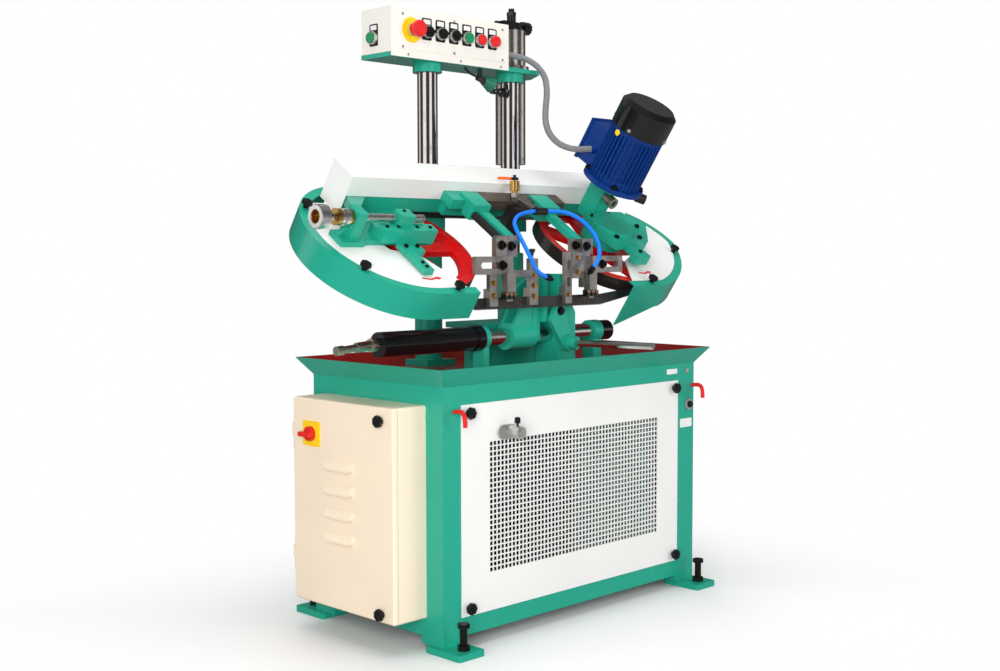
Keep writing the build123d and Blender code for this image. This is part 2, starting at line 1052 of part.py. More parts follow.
box_bottom = column_top + plate_thickness
box_top = box_bottom + box_height
box_front = plate_front
box_back = box_front + box_depth
device_height = box_bottom + device_z
device_xs = [estop_x] + [first_device_x + device_pitch * i for i in range(6)]
side_button_y = box_front + side_button_inset
side_button_z = box_bottom + side_button_height
terminal_u = motor_u - terminal_inset
conduit_points = [
    (box_right + 10, 172, 1357),
    (172, 170, 1359),
    (205, 158, 1355),
    (228, 135, 1337),
    (235, 112, 1307),
    (227, 97, 1275),
    (211, 83, 1245),
    (191, 69, 1212),
    (172, 51, 1178),
    (162, 27, 1145),
    (168, -4, 1118),
    (192, -36, 1106),
    (terminal_u - 8, -55, 1110),
]

# control box of folded sheet with a lip over the plate edge and holes for its devices
with BuildPart() as control_box:
    block((box_left, box_right), (box_front, box_back), (box_bottom, box_top))
    inset = box_wall
    block(
        (box_left + inset, box_right - inset),
        (box_front + inset, box_back - inset),
        (box_bottom + inset, box_top - inset),
        Mode.SUBTRACT,
    )
    block((box_left, box_right), (box_front - box_wall, box_front), (box_bottom - box_lip, box_top))
    for x in device_xs:
        plane = facing_front(x, box_front + hole_reach, device_height)
        post_along(plane, barrel_radius + device_clearance, 2 * hole_reach, Mode.SUBTRACT)
    plane = facing_left(box_left + hole_reach, side_button_y, side_button_z)
    post_along(plane, barrel_radius + device_clearance, 2 * hole_reach, Mode.SUBTRACT)
    outlet = Vector(*conduit_points[0])
    nut_plane = Plane(outlet, z_dir=outlet - Vector(*conduit_points[1]))
    post_along(nut_plane, conduit_radius + conduit_nut_wall, conduit_nut_length)
save(control_box, "control_box")

face = box_front - box_wall


def bezel(plane):
    """Ring on the face and threaded barrel behind it, bored for the moving stem."""
    post_along(plane, bezel_radius, bezel_height)
    post_along(plane.offset(bezel_floor), cap_radius + device_clearance, bezel_height, Mode.SUBTRACT)
    post_along(plane.offset(-barrel_length), barrel_radius, barrel_length)
    stem_bore = stem_radius + device_clearance
    post_along(plane.offset(-barrel_length), stem_bore, barrel_length + bezel_floor, Mode.SUBTRACT)


with BuildPart() as control_bezels:
    for x in device_xs[:6]:
        bezel(facing_front(x, face, device_height))
    bezel(facing_left(box_left, side_button_y, side_button_z))
    pilot_plane = facing_front(device_xs[6], face, device_height)
    post_along(pilot_plane, bezel_radius, bezel_height)
    post_along(pilot_plane, cap_radius + pilot_wall, bezel_height + pilot_rise)
    post_along(pilot_plane.offset(-barrel_length), barrel_radius, barrel_length)
save(control_bezels, "control_bezels")


def push_button(plane):
    """Flat cap that stands proud of its bezel, on a stem."""
    with BuildPart() as pressed:
        post_along(plane.offset(button_rest), cap_radius, cap_length)
        stem_length = barrel_length - stem_short
        post_along(plane.offset(button_rest - stem_length), stem_radius, stem_length)
        rim = pressed.edges().filter_by(GeomType.CIRCLE).group_by(Axis(plane.origin, plane.z_dir))[-1]
        chamfer(rim, cap_edge)
    return pressed


def selector(plane):
    """Round knob with a raised grip, on a stem that turns."""
    with BuildPart() as turned:
        foot = bezel_floor + selector_play
        top = bezel_height + selector_rise
        post_along(plane.offset(foot), cap_radius, top - foot)
        stem_length = barrel_length - selector_stem_short
        post_along(plane.offset(foot - stem_length), stem_radius, stem_length)
        with BuildSketch(plane.offset(top)):
            SlotOverall(2 * cap_radius - grip_margin, grip_width)
        extrude(amount=grip_height)
    return turned


estop_button = push_button(facing_front(estop_x, face, device_height))
# the emergency stop carries a mushroom head in front of its cap
with BuildPart() as estop_head:
    add(estop_button.part)
    head_plane = facing_front(estop_x, face - bezel_height - estop_stand, device_height)
    post_along(head_plane, cap_radius, estop_neck)
    post_along(head_plane.offset(estop_neck), estop_radius, estop_rim)
    with BuildSketch(head_plane.offset(estop_neck + estop_rim)):
        Circle(estop_radius)
    extrude(amount=estop_crown, taper=estop_crown_taper)
save(estop_head, "estop_button")

for number in (1, 2, 3):
    knob_plane = facing_front(device_xs[number], face, device_height)
    save(selector(knob_plane), f"selector_{number}")

start_button = push_button(facing_front(device_xs[4], face, device_height))
save(start_button, "start_button")
stop_button = push_button(facing_front(device_xs[5], face, device_height))
save(stop_button, "stop_button")
side_button = push_button(facing_left(box_left, side_button_y, side_button_z))
save(side_button, "side_button")

lift_top = lift_bottom + lift_length
gland_top = lift_bottom + gland_length
# lift cylinder: bored tube with a gland below and a lock ring above the plate
with BuildPart() as lift_cylinder:
    post_along(Plane((lift_x, lift_y, lift_bottom)), lift_radius, lift_length)
    post_along(Plane((lift_x, lift_y, gland_top)), lift_bore, lift_length - gland_length - lift_cap, Mode.SUBTRACT)
    post_along(Plane((lift_x, lift_y, lift_bottom)), rod_radius + running_clearance, gland_length, Mode.SUBTRACT)
    with BuildSketch(Plane((lift_x, lift_y, box_bottom))):
        Circle(lift_radius + lock_ring_wall)
        Circle(lift_radius - lock_ring_sink, mode=Mode.SUBTRACT)
    extrude(amount=lock_ring_height)
save(lift_cylinder, "lift_cylinder")

knob_u = lift_x + lift_radius + flow_knob_gap
head_z = lift_top + flow_axis_height
head_base = lift_top + head_flange_height
tower_x = lift_x + tower_shift
# valve on top of the cylinder: flange, body with a tower, and a plug on its left
with BuildPart() as lift_valve:
    post_along(Plane((lift_x, lift_y, lift_top)), lift_radius - head_flange_inset, head_flange_height)
    block(
        (lift_x - head_left, lift_x + head_right),
        (lift_y - head_half_depth, lift_y + head_half_depth),
        (head_base, head_base + head_height),
    )
    tower_plane = Plane((tower_x, lift_y, head_base + head_height))
    post_along(tower_plane, tower_radius, tower_height)
    with BuildSketch(tower_plane.offset(tower_height)):
        RegularPolygon(tower_hex, 6)
    extrude(amount=tower_hex_height)
    post_along(tower_plane.offset(tower_height + tower_hex_height), tower_tip_radius, tower_tip_height)
    post_along(facing_left(lift_x - head_left, lift_y, head_z), head_plug_radius, head_plug_length)
    bore_plane = facing_right(lift_x + flow_bore_start, lift_y, head_z)
    post_along(bore_plane, flow_stem_radius + pin_clearance, flow_bore_length, Mode.SUBTRACT)
save(lift_valve, "lift_valve")

with BuildPart() as flow_knob:
    flow_stem_x = lift_x + flow_stem_start
    post_along(facing_right(flow_stem_x, lift_y, head_z), flow_stem_radius, knob_u - flow_stem_x)
    with BuildSketch(facing_right(knob_u, lift_y, head_z)):
        Circle(flow_knob_radius)
        with PolarLocations(flow_knob_radius, flow_flutes):
            Circle(flow_flute_radius, mode=Mode.SUBTRACT)
    extrude(amount=flow_knob_length)
save(flow_knob, "flow_knob")

lamp_spot = (lamp_x - lamp_set, lamp_y, column_top - lamp_drop)
lamp_plane = Plane(lamp_spot, x_dir=(0, 1, 0), z_dir=(1, -0.1, -0.35))
lamp_mouth = lamp_neck_length + lamp_bell_length
# small work lamp under the plate: bell on a neck, tilted to the work
with BuildPart() as work_lamp:
    post_along(lamp_plane, lamp_neck_radius, lamp_neck_length)
    with BuildSketch(lamp_plane.offset(lamp_neck_length)):
        Circle(lamp_bell_small)
    with BuildSketch(lamp_plane.offset(lamp_mouth)):
        Circle(lamp_bell_large)
    loft()
    with BuildSketch(lamp_plane.offset(lamp_neck_length + lamp_bell_back)):
        Circle(lamp_bell_small - lamp_bell_wall)
    with BuildSketch(lamp_plane.offset(lamp_mouth)):
        Circle(lamp_bell_large - lamp_bell_wall)
    loft(mode=Mode.SUBTRACT)
    stem_left = lamp_x - lamp_stem_set
    block(
        (stem_left, stem_left + lamp_stem_width),
        (lamp_y - lamp_stem_depth / 2, lamp_y + lamp_stem_depth / 2),
        (column_top - lamp_stem_height, column_top),
    )
save(work_lamp, "work_lamp")


def bend_radii(points, share=0.45):
    """Radius at each inner point of a route, as large as its two runs allow."""
    spots = [Vector(*p) for p in points]
    radii = []
    for before, corner, after in zip(spots, spots[1:], spots[2:]):
        first = corner - before
        second = after - corner
        turn = first.get_angle(second)
        radii.append(share * min(first.length, second.length) / tan(radians(turn / 2)))
    return radii


def cord(points, radius):
    """Round flexible line along straight runs joined by arcs."""
    radii = bend_radii(points)
    print("bend radii", [round(bend, 1) for bend in radii])
    with BuildPart() as line:
        with BuildLine() as route:
            FilletPolyline(*points, radius=radii)
        with BuildSketch(Plane(route.wire() @ 0, z_dir=route.wire() % 0)):
            Circle(radius)
        sweep()
    return line


save(cord(conduit_points, conduit_radius), "conduit")

lamp_cord_points = [
    lamp_spot,
    (lamp_x - 40, lamp_y + 1, column_top - 17),
    (lamp_x - 54, lamp_y + 3, column_top - 12),
    (lamp_x - 65, lamp_y + 6, column_top),
]
save(cord(lamp_cord_points, lamp_cord_radius), "lamp_cord")

# rounded shaft brackets of the vise, each on a foot
with BuildPart() as vise_brackets:
    for x, thickness in (
        (left_bracket_x, left_bracket_thickness),
        (right_bracket_x, right_bracket_thickness),
    ):
        with BuildSketch(facing_right(x, vise_y, vise_z)):
            Circle(vise_rod + bracket_wall)
            with Locations((0, (tray_bed - vise_z) / 2)):
                Rectangle(bracket_neck, vise_z - tray_bed)
            Circle(vise_rod + running_clearance, mode=Mode.SUBTRACT)
        extrude(amount=thickness)
        block(
            (x + thickness, x + thickness + bracket_foot),
            (vise_y - bracket_neck / 2, vise_y + bracket_neck / 2),
            (tray_bed, tray_bed + bracket_foot_height),
        )
save(vise_brackets, "vise_brackets")

cylinder_left = left_bracket_x - vise_cylinder_length
shaft_left = left_bracket_x - shaft_reach
cap_left = right_bracket_x + right_bracket_thickness
shaft_right = cap_left + shaft_overlap
# hydraulic cylinder of the vise with its stepped ends and hose fitting, and the cap on the far bracket
with BuildPart() as vise_cylinder:
    cylinder_plane = facing_right(cylinder_left, vise_y, vise_z)
    post_along(cylinder_plane, vise_cylinder_radius, vise_cylinder_length)
    collar_plane = cylinder_plane.offset(vise_cylinder_length - cylinder_collar_length)
    post_along(collar_plane, vise_cylinder_radius + cylinder_collar_wall, cylinder_collar_length)
    bore_length = vise_cylinder_length - cylinder_back_wall - cylinder_gland
    bore_plane = cylinder_plane.offset(cylinder_back_wall)
    post_along(bore_plane, vise_rod + vise_piston_step, bore_length, Mode.SUBTRACT)
    gland_plane = cylinder_plane.offset(vise_cylinder_length - cylinder_gland)
    post_along(gland_plane, vise_rod + running_clearance, cylinder_gland, Mode.SUBTRACT)
    post_along(cylinder_plane.offset(-cylinder_neck_length), cylinder_neck_radius, cylinder_neck_length)
    fitting_x = cylinder_left - cylinder_neck_length + fitting_sink
    fitting = Plane((fitting_x, vise_y, vise_z), x_dir=(0, 1, 0), z_dir=(-1, 0, -fitting_droop))
    post_along(fitting, fitting_body_radius, fitting_body_length)
    pipe = fitting.offset(fitting_body_length)
    post_along(pipe, fitting_pipe_radius, fitting_pipe_length)
    post_along(pipe.offset(fitting_pipe_length), fitting_end_radius, fitting_end_length)
    cap_plane = facing_right(cap_left, vise_y, vise_z)
    post_along(cap_plane, vise_rod + end_cap_wall, end_cap_length)
    post_along(cap_plane, vise_rod + shaft_room, end_cap_bore, Mode.SUBTRACT)
save(vise_cylinder, "vise_cylinder")

with BuildPart() as vise_shaft:
    post_along(facing_right(shaft_left, vise_y, vise_z), vise_rod, shaft_right - shaft_left)
    piston_plane = facing_right(shaft_left - vise_piston_length, vise_y, vise_z)
    post_along(piston_plane, vise_rod + vise_piston_step - piston_clearance, vise_piston_length)
save(vise_shaft, "vise_shaft")

jaw_bottom = bed_top + jaw_lift
plate_back_x = moving_jaw_face - jaw_plate
# moving jaw: boss on the shaft, upright face plate and sloped ribs behind it
with BuildPart() as moving_jaw:
    post_along(facing_right(boss_left, vise_y, vise_z), vise_rod + boss_wall, boss_right - boss_left)
    block(
        (boss_right - jaw_neck_overlap, plate_back_x),
        (vise_y - jaw_neck_half_depth, vise_y + jaw_neck_half_depth),
        (vise_z - jaw_neck_drop, jaw_bottom + jaw_neck_rise),
    )
    block((plate_back_x, moving_jaw_face), (jaw_front + jaw_side_room, jaw_back), (jaw_bottom, jaw_top))
    for y in (vise_y - rib_front, vise_y + rib_back):
        with BuildSketch(facing_front(0, y + rib_thickness, 0)):
            with BuildLine():
                Polyline(
                    (plate_back_x, jaw_top - rib_top_drop),
                    (plate_back_x, vise_z),
                    (boss_left + rib_inset, vise_z),
                    (boss_left + rib_inset, vise_z + rib_heel),
                    (rib_knee_x, jaw_top - rib_knee_drop),
                    close=True,
                )
            make_face()
        extrude(amount=rib_thickness)
    post_along(facing_right(boss_left, vise_y, vise_z), vise_rod, through, Mode.SUBTRACT)
save(moving_jaw, "moving_jaw")

jaw_web_face = fixed_jaw_face + jaw_plate
jaw_end = fixed_jaw_face + jaw_base
jaw_base_top = jaw_bottom + jaw_base_rise
# fixed jaw on its pedestal, the bed behind the shaft, and the slanted arm that carries the stop rod
with BuildPart() as fixed_jaw:
    block((fixed_jaw_face, jaw_web_face), (jaw_front, jaw_back), (bed_top, jaw_top))
    block((jaw_web_face, jaw_end), (jaw_front, jaw_back), (jaw_bottom - jaw_base_drop, jaw_base_top))
    for y in (jaw_front, jaw_back - jaw_web):
        with BuildSketch(facing_front(0, y + jaw_web, 0)):
            with BuildLine():
                Polyline(
                    (jaw_web_face, jaw_top - jaw_web_drop),
                    (jaw_end, jaw_base_top),
                    (jaw_web_face, jaw_base_top),
                    close=True,
                )
            make_face()
        extrude(amount=jaw_web)
    block((fixed_jaw_face, jaw_end), (jaw_front, pedestal_back), (tray_bed, bed_top))
    block((bed_left, jaw_end), (pedestal_back, bed_back), (bed_top - bed_thickness, bed_top))
    block((bed_left, jaw_end), (keel_front, keel_back), (tray_bed, bed_top - bed_thickness))
    block((fixed_jaw_face, jaw_end), (jaw_back, jaw_rear_stop), (bed_top, jaw_base_top))
    post_along(facing_right(left_bracket_x, vise_y, vise_z), vise_rod + shaft_room, through, Mode.SUBTRACT)
    with BuildSketch(facing_front(0, jaw_front, 0)):
        with BuildLine():
            Polyline(
                (fixed_jaw_face - 26, 716),
                (fixed_jaw_face + 2, 736),
                (fixed_jaw_face + 44, 632),
                (fixed_jaw_face + 12, 614),
                (fixed_jaw_face - 40, 690),
                close=True,
            )
        make_face()
    extrude(amount=arm_thickness)
    stop_boss_y = jaw_front - arm_thickness
    boss_plane = facing_front(fixed_jaw_face + stop_x, stop_boss_y, stop_z)
    post_along(boss_plane, stop_boss_radius, stop_boss_height)
    stop_plane = Plane(
        (fixed_jaw_face + stop_x, stop_boss_y - stop_boss_height, stop_z),
        x_dir=(cos(radians(stop_turn)), sin(radians(stop_turn)), 0),
        z_dir=(sin(radians(stop_turn)), -cos(radians(stop_turn)), 0),
    )
    post_along(stop_plane.offset(-stop_sleeve_sink), stop_sleeve_radius, stop_sleeve_length)
    stop_bore = stop_rod_radius + running_clearance
    post_along(stop_plane.offset(-stop_bore_sink), stop_bore, stop_bore_length, Mode.SUBTRACT)
save(fixed_jaw, "fixed_jaw")

with BuildPart() as stop_rod:
    post_along(stop_plane.offset(-stop_rod_sink), stop_rod_radius, stop_rod_length)
save(stop_rod, "stop_rod")

beam_back = beam_v + beam_depth
beam_top = beam_n + beam_height
beam_mid_v = beam_v + beam_depth / 2
beam_mid_n = beam_n + beam_height / 2
bar_front = beam_v - hood_sheet - bar_depth
bar_top = bar_n + bar_height

# beam of the bow: box section with column sleeves, guide bar, slide ways and the screw bracket
with BuildPart() as bow_beam:
    with BuildSketch(across_bow(beam_left, beam_mid_v, beam_mid_n)):
        RectangleRounded(beam_depth, beam_height, beam_wall + beam_corner_extra)
    extrude(amount=beam_right - beam_left)
    with BuildSketch(across_bow(beam_left + beam_wall, beam_mid_v, beam_mid_n)):
        room = (beam_depth - 2 * beam_wall, beam_height - 2 * beam_wall)
        RectangleRounded(*room, beam_inner_corner)
    extrude(amount=beam_right - beam_left, mode=Mode.SUBTRACT)
    web_v = beam_back - web_sink
    low_corner = bow_plane.from_local_coords(Vector(0, web_v, beam_n + web_low_inset))
    high_corner = bow_plane.from_local_coords(Vector(0, web_v, beam_top - web_high_inset))
    for x in column_xs:
        with BuildSketch(facing_right(x - web_width / 2, 0, 0)):
            with BuildLine():
                Polyline(
                    (low_corner.Y, low_corner.Z),
                    (column_y, low_corner.Z - web_fall),
                    (column_y, sleeve_top - web_top_drop),
                    (high_corner.Y, high_corner.Z),
                    close=True,
                )
            make_face()
        extrude(amount=web_width)
        post_along(Plane((x, column_y, sleeve_bottom)), sleeve_radius, sleeve_top - sleeve_bottom)
    reach = Vector(lift_x - column_right_x, lift_y - column_y)
    with BuildSketch(Plane.XY.offset(sleeve_bottom)):
        with Locations((lift_x, lift_y)):
            Circle(rod_radius + lug_wall)
        with Locations(((lift_x + column_right_x) / 2, (lift_y + column_y) / 2)):
            Rectangle(reach.length, 2 * rod_radius + lug_wall, rotation=Vector(1, 0).get_angle(reach))
    extrude(amount=lug_thickness)
    for x in column_xs:
        bore = column_radius + running_clearance
        post_along(Plane((x, column_y, sleeve_bottom)), bore, sleeve_top - sleeve_bottom, Mode.SUBTRACT)
    rod_plane = Plane((lift_x, lift_y, sleeve_bottom))
    post_along(rod_plane, rod_radius + running_clearance, lug_thickness, Mode.SUBTRACT)
    # the sleeves stay clear of the return run of the saw band
    run_v = wheel_v + wheel_radius + band_gap
    room_v = (run_v - band_room, run_v + band_thickness + band_room)
    room_n = (band_n - band_width / 2 - band_room, band_n + band_width / 2 + band_room)
    bow_block((idler_u, drive_u), room_v, room_n, Mode.SUBTRACT)
    bow_block((bar_left, bar_right), (bar_front, beam_v - hood_sheet), (bar_n, bar_top))
    bow_block(
        (bar_left + bar_web_inset, bar_right - bar_web_inset),
        (beam_v - bar_web_depth, beam_v + bar_web_lap),
        (beam_n + bar_web_rise, bar_n),
    )
    ways_n = (0, ways_thickness)
    bow_block((ways_left, ways_right), (ways_front, beam_v - ways_back_gap), ways_n)
    bow_block((foot_left, ways_left), (foot_front, screw_v + foot_back_reach), ways_n)
    rail_v = (beam_v - ways_rail_depth, beam_v + ways_rail_lap)
    bow_block((beam_left + ways_rail_inset, ways_right), rail_v, ways_n)
    with BuildSketch(on_bow(idler_u + tension_travel / 2, wheel_v, 0)):
        SlotCenterToCenter(tension_travel + slot_play, 2 * (axle_radius + slot_side_play))
    extrude(amount=ways_thickness, mode=Mode.SUBTRACT)
    collar_u = bracket_u + bracket_width / 2
    root_u = beam_left + bracket_root_inset
    with BuildSketch(down_bow(root_u, beam_v + bracket_root_lap, hood_lip - bracket_root_drop)):
        Rectangle(2 * bracket_width, bracket_root_height)
    with BuildSketch(down_bow(collar_u, screw_v + bracket_tip_back, screw_n + bracket_tip_rise)):
        Rectangle(bracket_width, bracket_tip_height)
    loft()
    collar = (bracket_u, bracket_u + bracket_width)
    collar_v = (screw_v - bracket_half, screw_v + bracket_half)
    bow_block(collar, collar_v, (ways_thickness, screw_n + bracket_half))
    with BuildSketch(down_bow(0, screw_v + gusset_thickness / 2, 0)):
        with BuildLine():
            Polyline(
                (bracket_u, screw_n - gusset_drop),
                (bracket_u - gusset_reach, ways_thickness),
                (bracket_u, ways_thickness),
                close=True,
            )
        make_face()
    extrude(amount=gusset_thickness)
    screw_bore = screw_radius + running_clearance
    post_along(across_bow(bracket_u, screw_v, screw_n), screw_bore, bracket_width, Mode.SUBTRACT)
save(bow_beam, "bow_beam")

hood_left = beam_left - hood_overhang
hood_front = beam_v - hood_sheet
hood_back = beam_back + hood_sheet
hood_top = beam_top + hood_sheet
# folded sheet hood over the beam with a closed left end
with BuildPart() as hood:
    with BuildSketch(across_bow(hood_left, 0, 0)):
        with BuildLine():
            Polyline(
                (beam_v, hood_lip),
                (beam_v, beam_top),
                (beam_back, beam_top),
                (beam_back, beam_top - hood_back_lip),
                (hood_back, beam_top - hood_back_lip),
                (hood_back, hood_top),
                (hood_front, hood_top),
                (hood_front, hood_lip),
                close=True,
            )
        make_face()
    extrude(amount=beam_right - hood_left)
    bow_block((hood_left, hood_left + hood_sheet), (hood_front, hood_back), (beam_n - hood_end_drop, hood_top))
save(hood, "hood")

left_floor = left_centre_v - left_reach
# outlines of the two wheel guards, drawn on the face of the bow
with BuildLine() as left_outline:
    Line((guard_inner_left, left_floor), (left_centre_u, left_floor))
    CenterArc((left_centre_u, left_centre_v), left_reach, 270, -left_sweep)
with BuildLine() as right_outline:
    Line((guard_inner_right, right_floor), (right_bend_u, right_floor))
    ThreePointArc((right_bend_u, right_floor), right_bow_spot, right_side_spot)
    ThreePointArc(right_side_spot, right_crown_spot, right_end)

# left guard: bent wall with a rim turned in along its front edge
with BuildPart() as left_guard:
    with BuildSketch(on_bow(0, 0, 0)):
        trace(left_outline.line, line_width=guard_sheet)
    extrude(amount=-left_guard_depth)
    with BuildSketch(on_bow(0, 0, 0)):
        with Locations((left_centre_u, left_centre_v)):
            Circle(left_reach)
        with Locations(((left_centre_u + guard_inner_left) / 2, left_floor + rim_flange / 2)):
            Rectangle(guard_inner_left - left_centre_u, rim_flange)
        trace(left_outline.line, line_width=2 * rim_flange, mode=Mode.INTERSECT)
    extrude(amount=-guard_sheet)
save(left_guard, "left_guard")

# right guard: the same, with its inner end drawn down to a point in front of the band
with BuildPart() as right_guard:
    with BuildSketch(on_bow(0, 0, 0)):
        trace(right_outline.line, line_width=guard_sheet)
    extrude(amount=-right_guard_depth)
    with BuildSketch(down_bow(0, right_floor + guard_sheet / 2, 0)):
        with BuildLine():
            Polyline(
                (guard_inner_right, 0),
                (guard_inner_right, -right_guard_depth - right_guard_point),
                (right_bend_u - point_back, -right_guard_depth),
                (right_bend_u - point_back, 0),
                close=True,
            )
        make_face()
    extrude(amount=guard_sheet)
    with BuildSketch(on_bow(0, 0, 0)):
        with BuildLine():
            add(right_outline.line)
            Polyline(right_end, (400, right_end[1]), (guard_inner_right, 120), (guard_inner_right, right_floor))
        make_face()
        trace(right_outline.line, line_width=2 * rim_flange, mode=Mode.INTERSECT)
    extrude(amount=-guard_sheet)
save(right_guard, "right_guard")

panel_edge = 2 * (rim_flange + panel_gap)
panel_turn = radians(270 - panel_sweep)
panel_end_u = left_centre_u + left_reach * cos(panel_turn)
panel_end_v = left_centre_v + left_reach * sin(panel_turn)
# white panels let into the rims of the guards
with BuildPart() as guard_panels:
    with BuildSketch(on_bow(0, 0, 0)):
        with BuildLine():
            CenterArc((left_centre_u, left_centre_v), left_reach, 270, -panel_sweep)
            Polyline(
                (panel_end_u, panel_end_v),
                (ways_left + 8, panel_end_v),
                (ways_left + 8, ways_front + 4),
                (-448, ways_front + 4),
                (-440, ways_front - 17),
                (-373, 140),
                (-331, 49),
                (-322, left_floor),
                (left_centre_u, left_floor),
            )
        make_face()
        trace(left_outline.line, line_width=panel_edge, mode=Mode.SUBTRACT)
    extrude(amount=-guard_sheet)
    with BuildSketch(on_bow(0, 0, 0)):
        with BuildLine():
            add(right_outline.line)
            Polyline(right_end, (430, 300), (400, 160), (300, 110), (guard_inner_right, right_floor))
        make_face()
        trace(right_outline.line, line_width=panel_edge, mode=Mode.SUBTRACT)
    extrude(amount=-guard_sheet)
save(guard_panels, "guard_panels")


def on_left_rim(turn):
    """A spot on the rim of the left guard, by its angle round the guard."""
    radius = left_reach - rim_flange * 0.6
    return (left_centre_u + radius * cos(radians(turn)), left_centre_v + radius * sin(radians(turn)))


guard_knob_spots = [
    *(on_left_rim(turn) for turn in guard_knob_turns),
    (guard_inner_left - left_knob_inset, left_floor + rim_flange * 0.7),
    (guard_inner_right + right_knob_inset, right_floor + rim_flange * 0.7),
    right_knob_spot,
]
with BuildPart() as guard_knobs:
    for u, v in guard_knob_spots:
        add(knob(on_bow(u, v, 0), guard_knob_radius, guard_knob_height))
save(guard_knobs, "guard_knobs")

wheel_back = wheel_front - wheel_width
hub_front = wheel_front + hub_proud
hub_back = wheel_back - hub_proud
wheel_inner = wheel_radius - rim_thickness


def band_wheel(u, bore):
    """Spoked wheel: rim, arms and a bored hub."""
    with BuildPart() as wheel:
        with BuildSketch(on_bow(u, wheel_v, wheel_back)):
            Circle(wheel_radius)
            Circle(wheel_inner, mode=Mode.SUBTRACT)
        extrude(amount=wheel_width)
        with BuildSketch(on_bow(u, wheel_v, wheel_back + (wheel_width - arm_thick) / 2)):
            Circle(wheel_inner + arm_sink)
            Circle(wheel_inner - rim_root, mode=Mode.SUBTRACT)
            with PolarLocations(wheel_inner / 2, wheel_arms):
                Rectangle(wheel_inner - arm_short, arm_wide)
            Circle(hub_radius + hub_root)
        extrude(amount=arm_thick)
        post_along(on_bow(u, wheel_v, hub_back), hub_radius, hub_front - hub_back)
        post_along(on_bow(u, wheel_v, hub_back), bore, hub_front - hub_back, Mode.SUBTRACT)
    return wheel


idler_wheel = band_wheel(idler_u, axle_radius + running_clearance)
save(idler_wheel, "idler_wheel")

# the drive wheel is keyed to the shaft that runs up into the gearbox
with BuildPart() as drive_wheel:
    add(band_wheel(drive_u, shaft_radius).part)
    post_along(on_bow(drive_u, wheel_v, hub_back), shaft_radius, shaft_end - hub_back)
    post_along(on_bow(drive_u, wheel_v, hub_back - shaft_washer), shaft_radius + washer_wall, shaft_washer)
save(drive_wheel, "drive_wheel")

band_inner = wheel_radius + band_gap
band_middle = band_inner + band_thickness / 2
band_low = band_n - band_width / 2
# saw band: round both wheels, flat on the return run, twisted upright between the guides
with BuildPart() as saw_band:
    with BuildSketch(on_bow((idler_u + drive_u) / 2, wheel_v, band_low)):
        SlotCenterToCenter(drive_u - idler_u, 2 * (band_inner + band_thickness))
        SlotCenterToCenter(drive_u - idler_u, 2 * band_inner, mode=Mode.SUBTRACT)
    extrude(amount=band_width)
    cut_v = (wheel_v - band_inner - band_thickness - cut_margin, wheel_v)
    cut_n = (band_low - cut_over, band_low + band_width + cut_over)
    bow_block((twist_left, twist_right), cut_v, cut_n, Mode.SUBTRACT)
    stations = (
        across_bow(twist_left, wheel_v - band_middle, band_n),
        facing_right(guide_zone_left, band_guide_y, band_guide_z),
        facing_right(guide_zone_right, band_guide_y, band_guide_z),
        across_bow(twist_right, wheel_v - band_middle, band_n),
    )
    for first, second in zip(stations, stations[1:]):
        with BuildSketch(first):
            Rectangle(band_thickness, band_width)
        with BuildSketch(second):
            Rectangle(band_thickness, band_width)
        loft(ruled=True)
save(saw_band, "saw_band")

housing_top = housing_n + housing_height
# gearbox: bearing housing with a round boss, neck up to the motor flange, and the bent bracket arm
with BuildPart() as gearbox:
    with BuildSketch(on_bow(drive_u, wheel_v, housing_n)):
        with BuildLine():
            Polyline(*housing_outline, close=True)
        make_face()
    extrude(amount=housing_height)
    post_along(on_bow(drive_u, wheel_v, 0), hub_radius + housing_post_wall, housing_n)
    bow_block(
        (drive_u + housing_foot[0], drive_u + housing_foot[1]),
        (wheel_v - housing_foot_half, wheel_v + housing_foot_half),
        (0, housing_n),
    )
    with BuildSketch(on_bow(drive_u + housing_boss_shift, wheel_v - housing_boss_shift, housing_top)):
        Circle(hub_radius + housing_boss_wall)
    extrude(amount=housing_boss_height, taper=housing_boss_taper)
    neck_u = (motor_u - gear_neck_sink, motor_u - gear_neck_sink + gear_neck_width)
    bow_block(neck_u, (motor_v + gear_neck_inset, hood_front), (housing_n, flange_n))
    post_along(on_bow(motor_u, motor_v, flange_n - spigot_height), flange_radius - spigot_inset, spigot_height)
    for left, across, depth in ((0, gear_arm_v, gear_arm_n), (-gear_toe_sink, gear_toe_v, gear_toe_n)):
        bow_block(
            (drive_u + left, drive_u + gear_arm_width),
            (wheel_v + across[0], wheel_v + across[1]),
            (housing_top + depth[0], housing_top + depth[1]),
        )
    cup_plane = down_bow(motor_u + oil_cup_shift, motor_v + gear_neck_inset, flange_n - oil_cup_drop)
    post_along(cup_plane, oil_cup_neck, oil_cup_neck_length)
    cup_plane = cup_plane.offset(oil_cup_neck_length)
    post_along(cup_plane, oil_cup_radius, oil_cup_length)
    post_along(cup_plane.offset(oil_cup_floor), oil_cup_bore, oil_cup_length, Mode.SUBTRACT)
    plug_spot = Vector(motor_u + plug_u, motor_v + plug_v, flange_n - plug_drop)
    plug_start = bow_plane.from_local_coords(plug_spot)
    plug_plane = Plane(plug_start, z_dir=bow_plane.x_dir * plug_aim[0] + bow_plane.y_dir * plug_aim[1])
    post_along(plug_plane, plug_radius, plug_length)
    post_along(plug_plane.offset(plug_head_start), plug_head_radius, plug_head_length)
    shaft_bore = shaft_radius + running_clearance
    post_along(on_bow(drive_u, wheel_v, 0), shaft_bore, shaft_end + 1, Mode.SUBTRACT)
save(gearbox, "gearbox")

body_n = flange_n + flange_thickness
fan_n = body_n + motor_length
terminal_v = (motor_v + terminal_inset, motor_v + terminal_inset + terminal_depth)
terminal_n = (body_n - terminal_sink, body_n - terminal_sink + terminal_length)
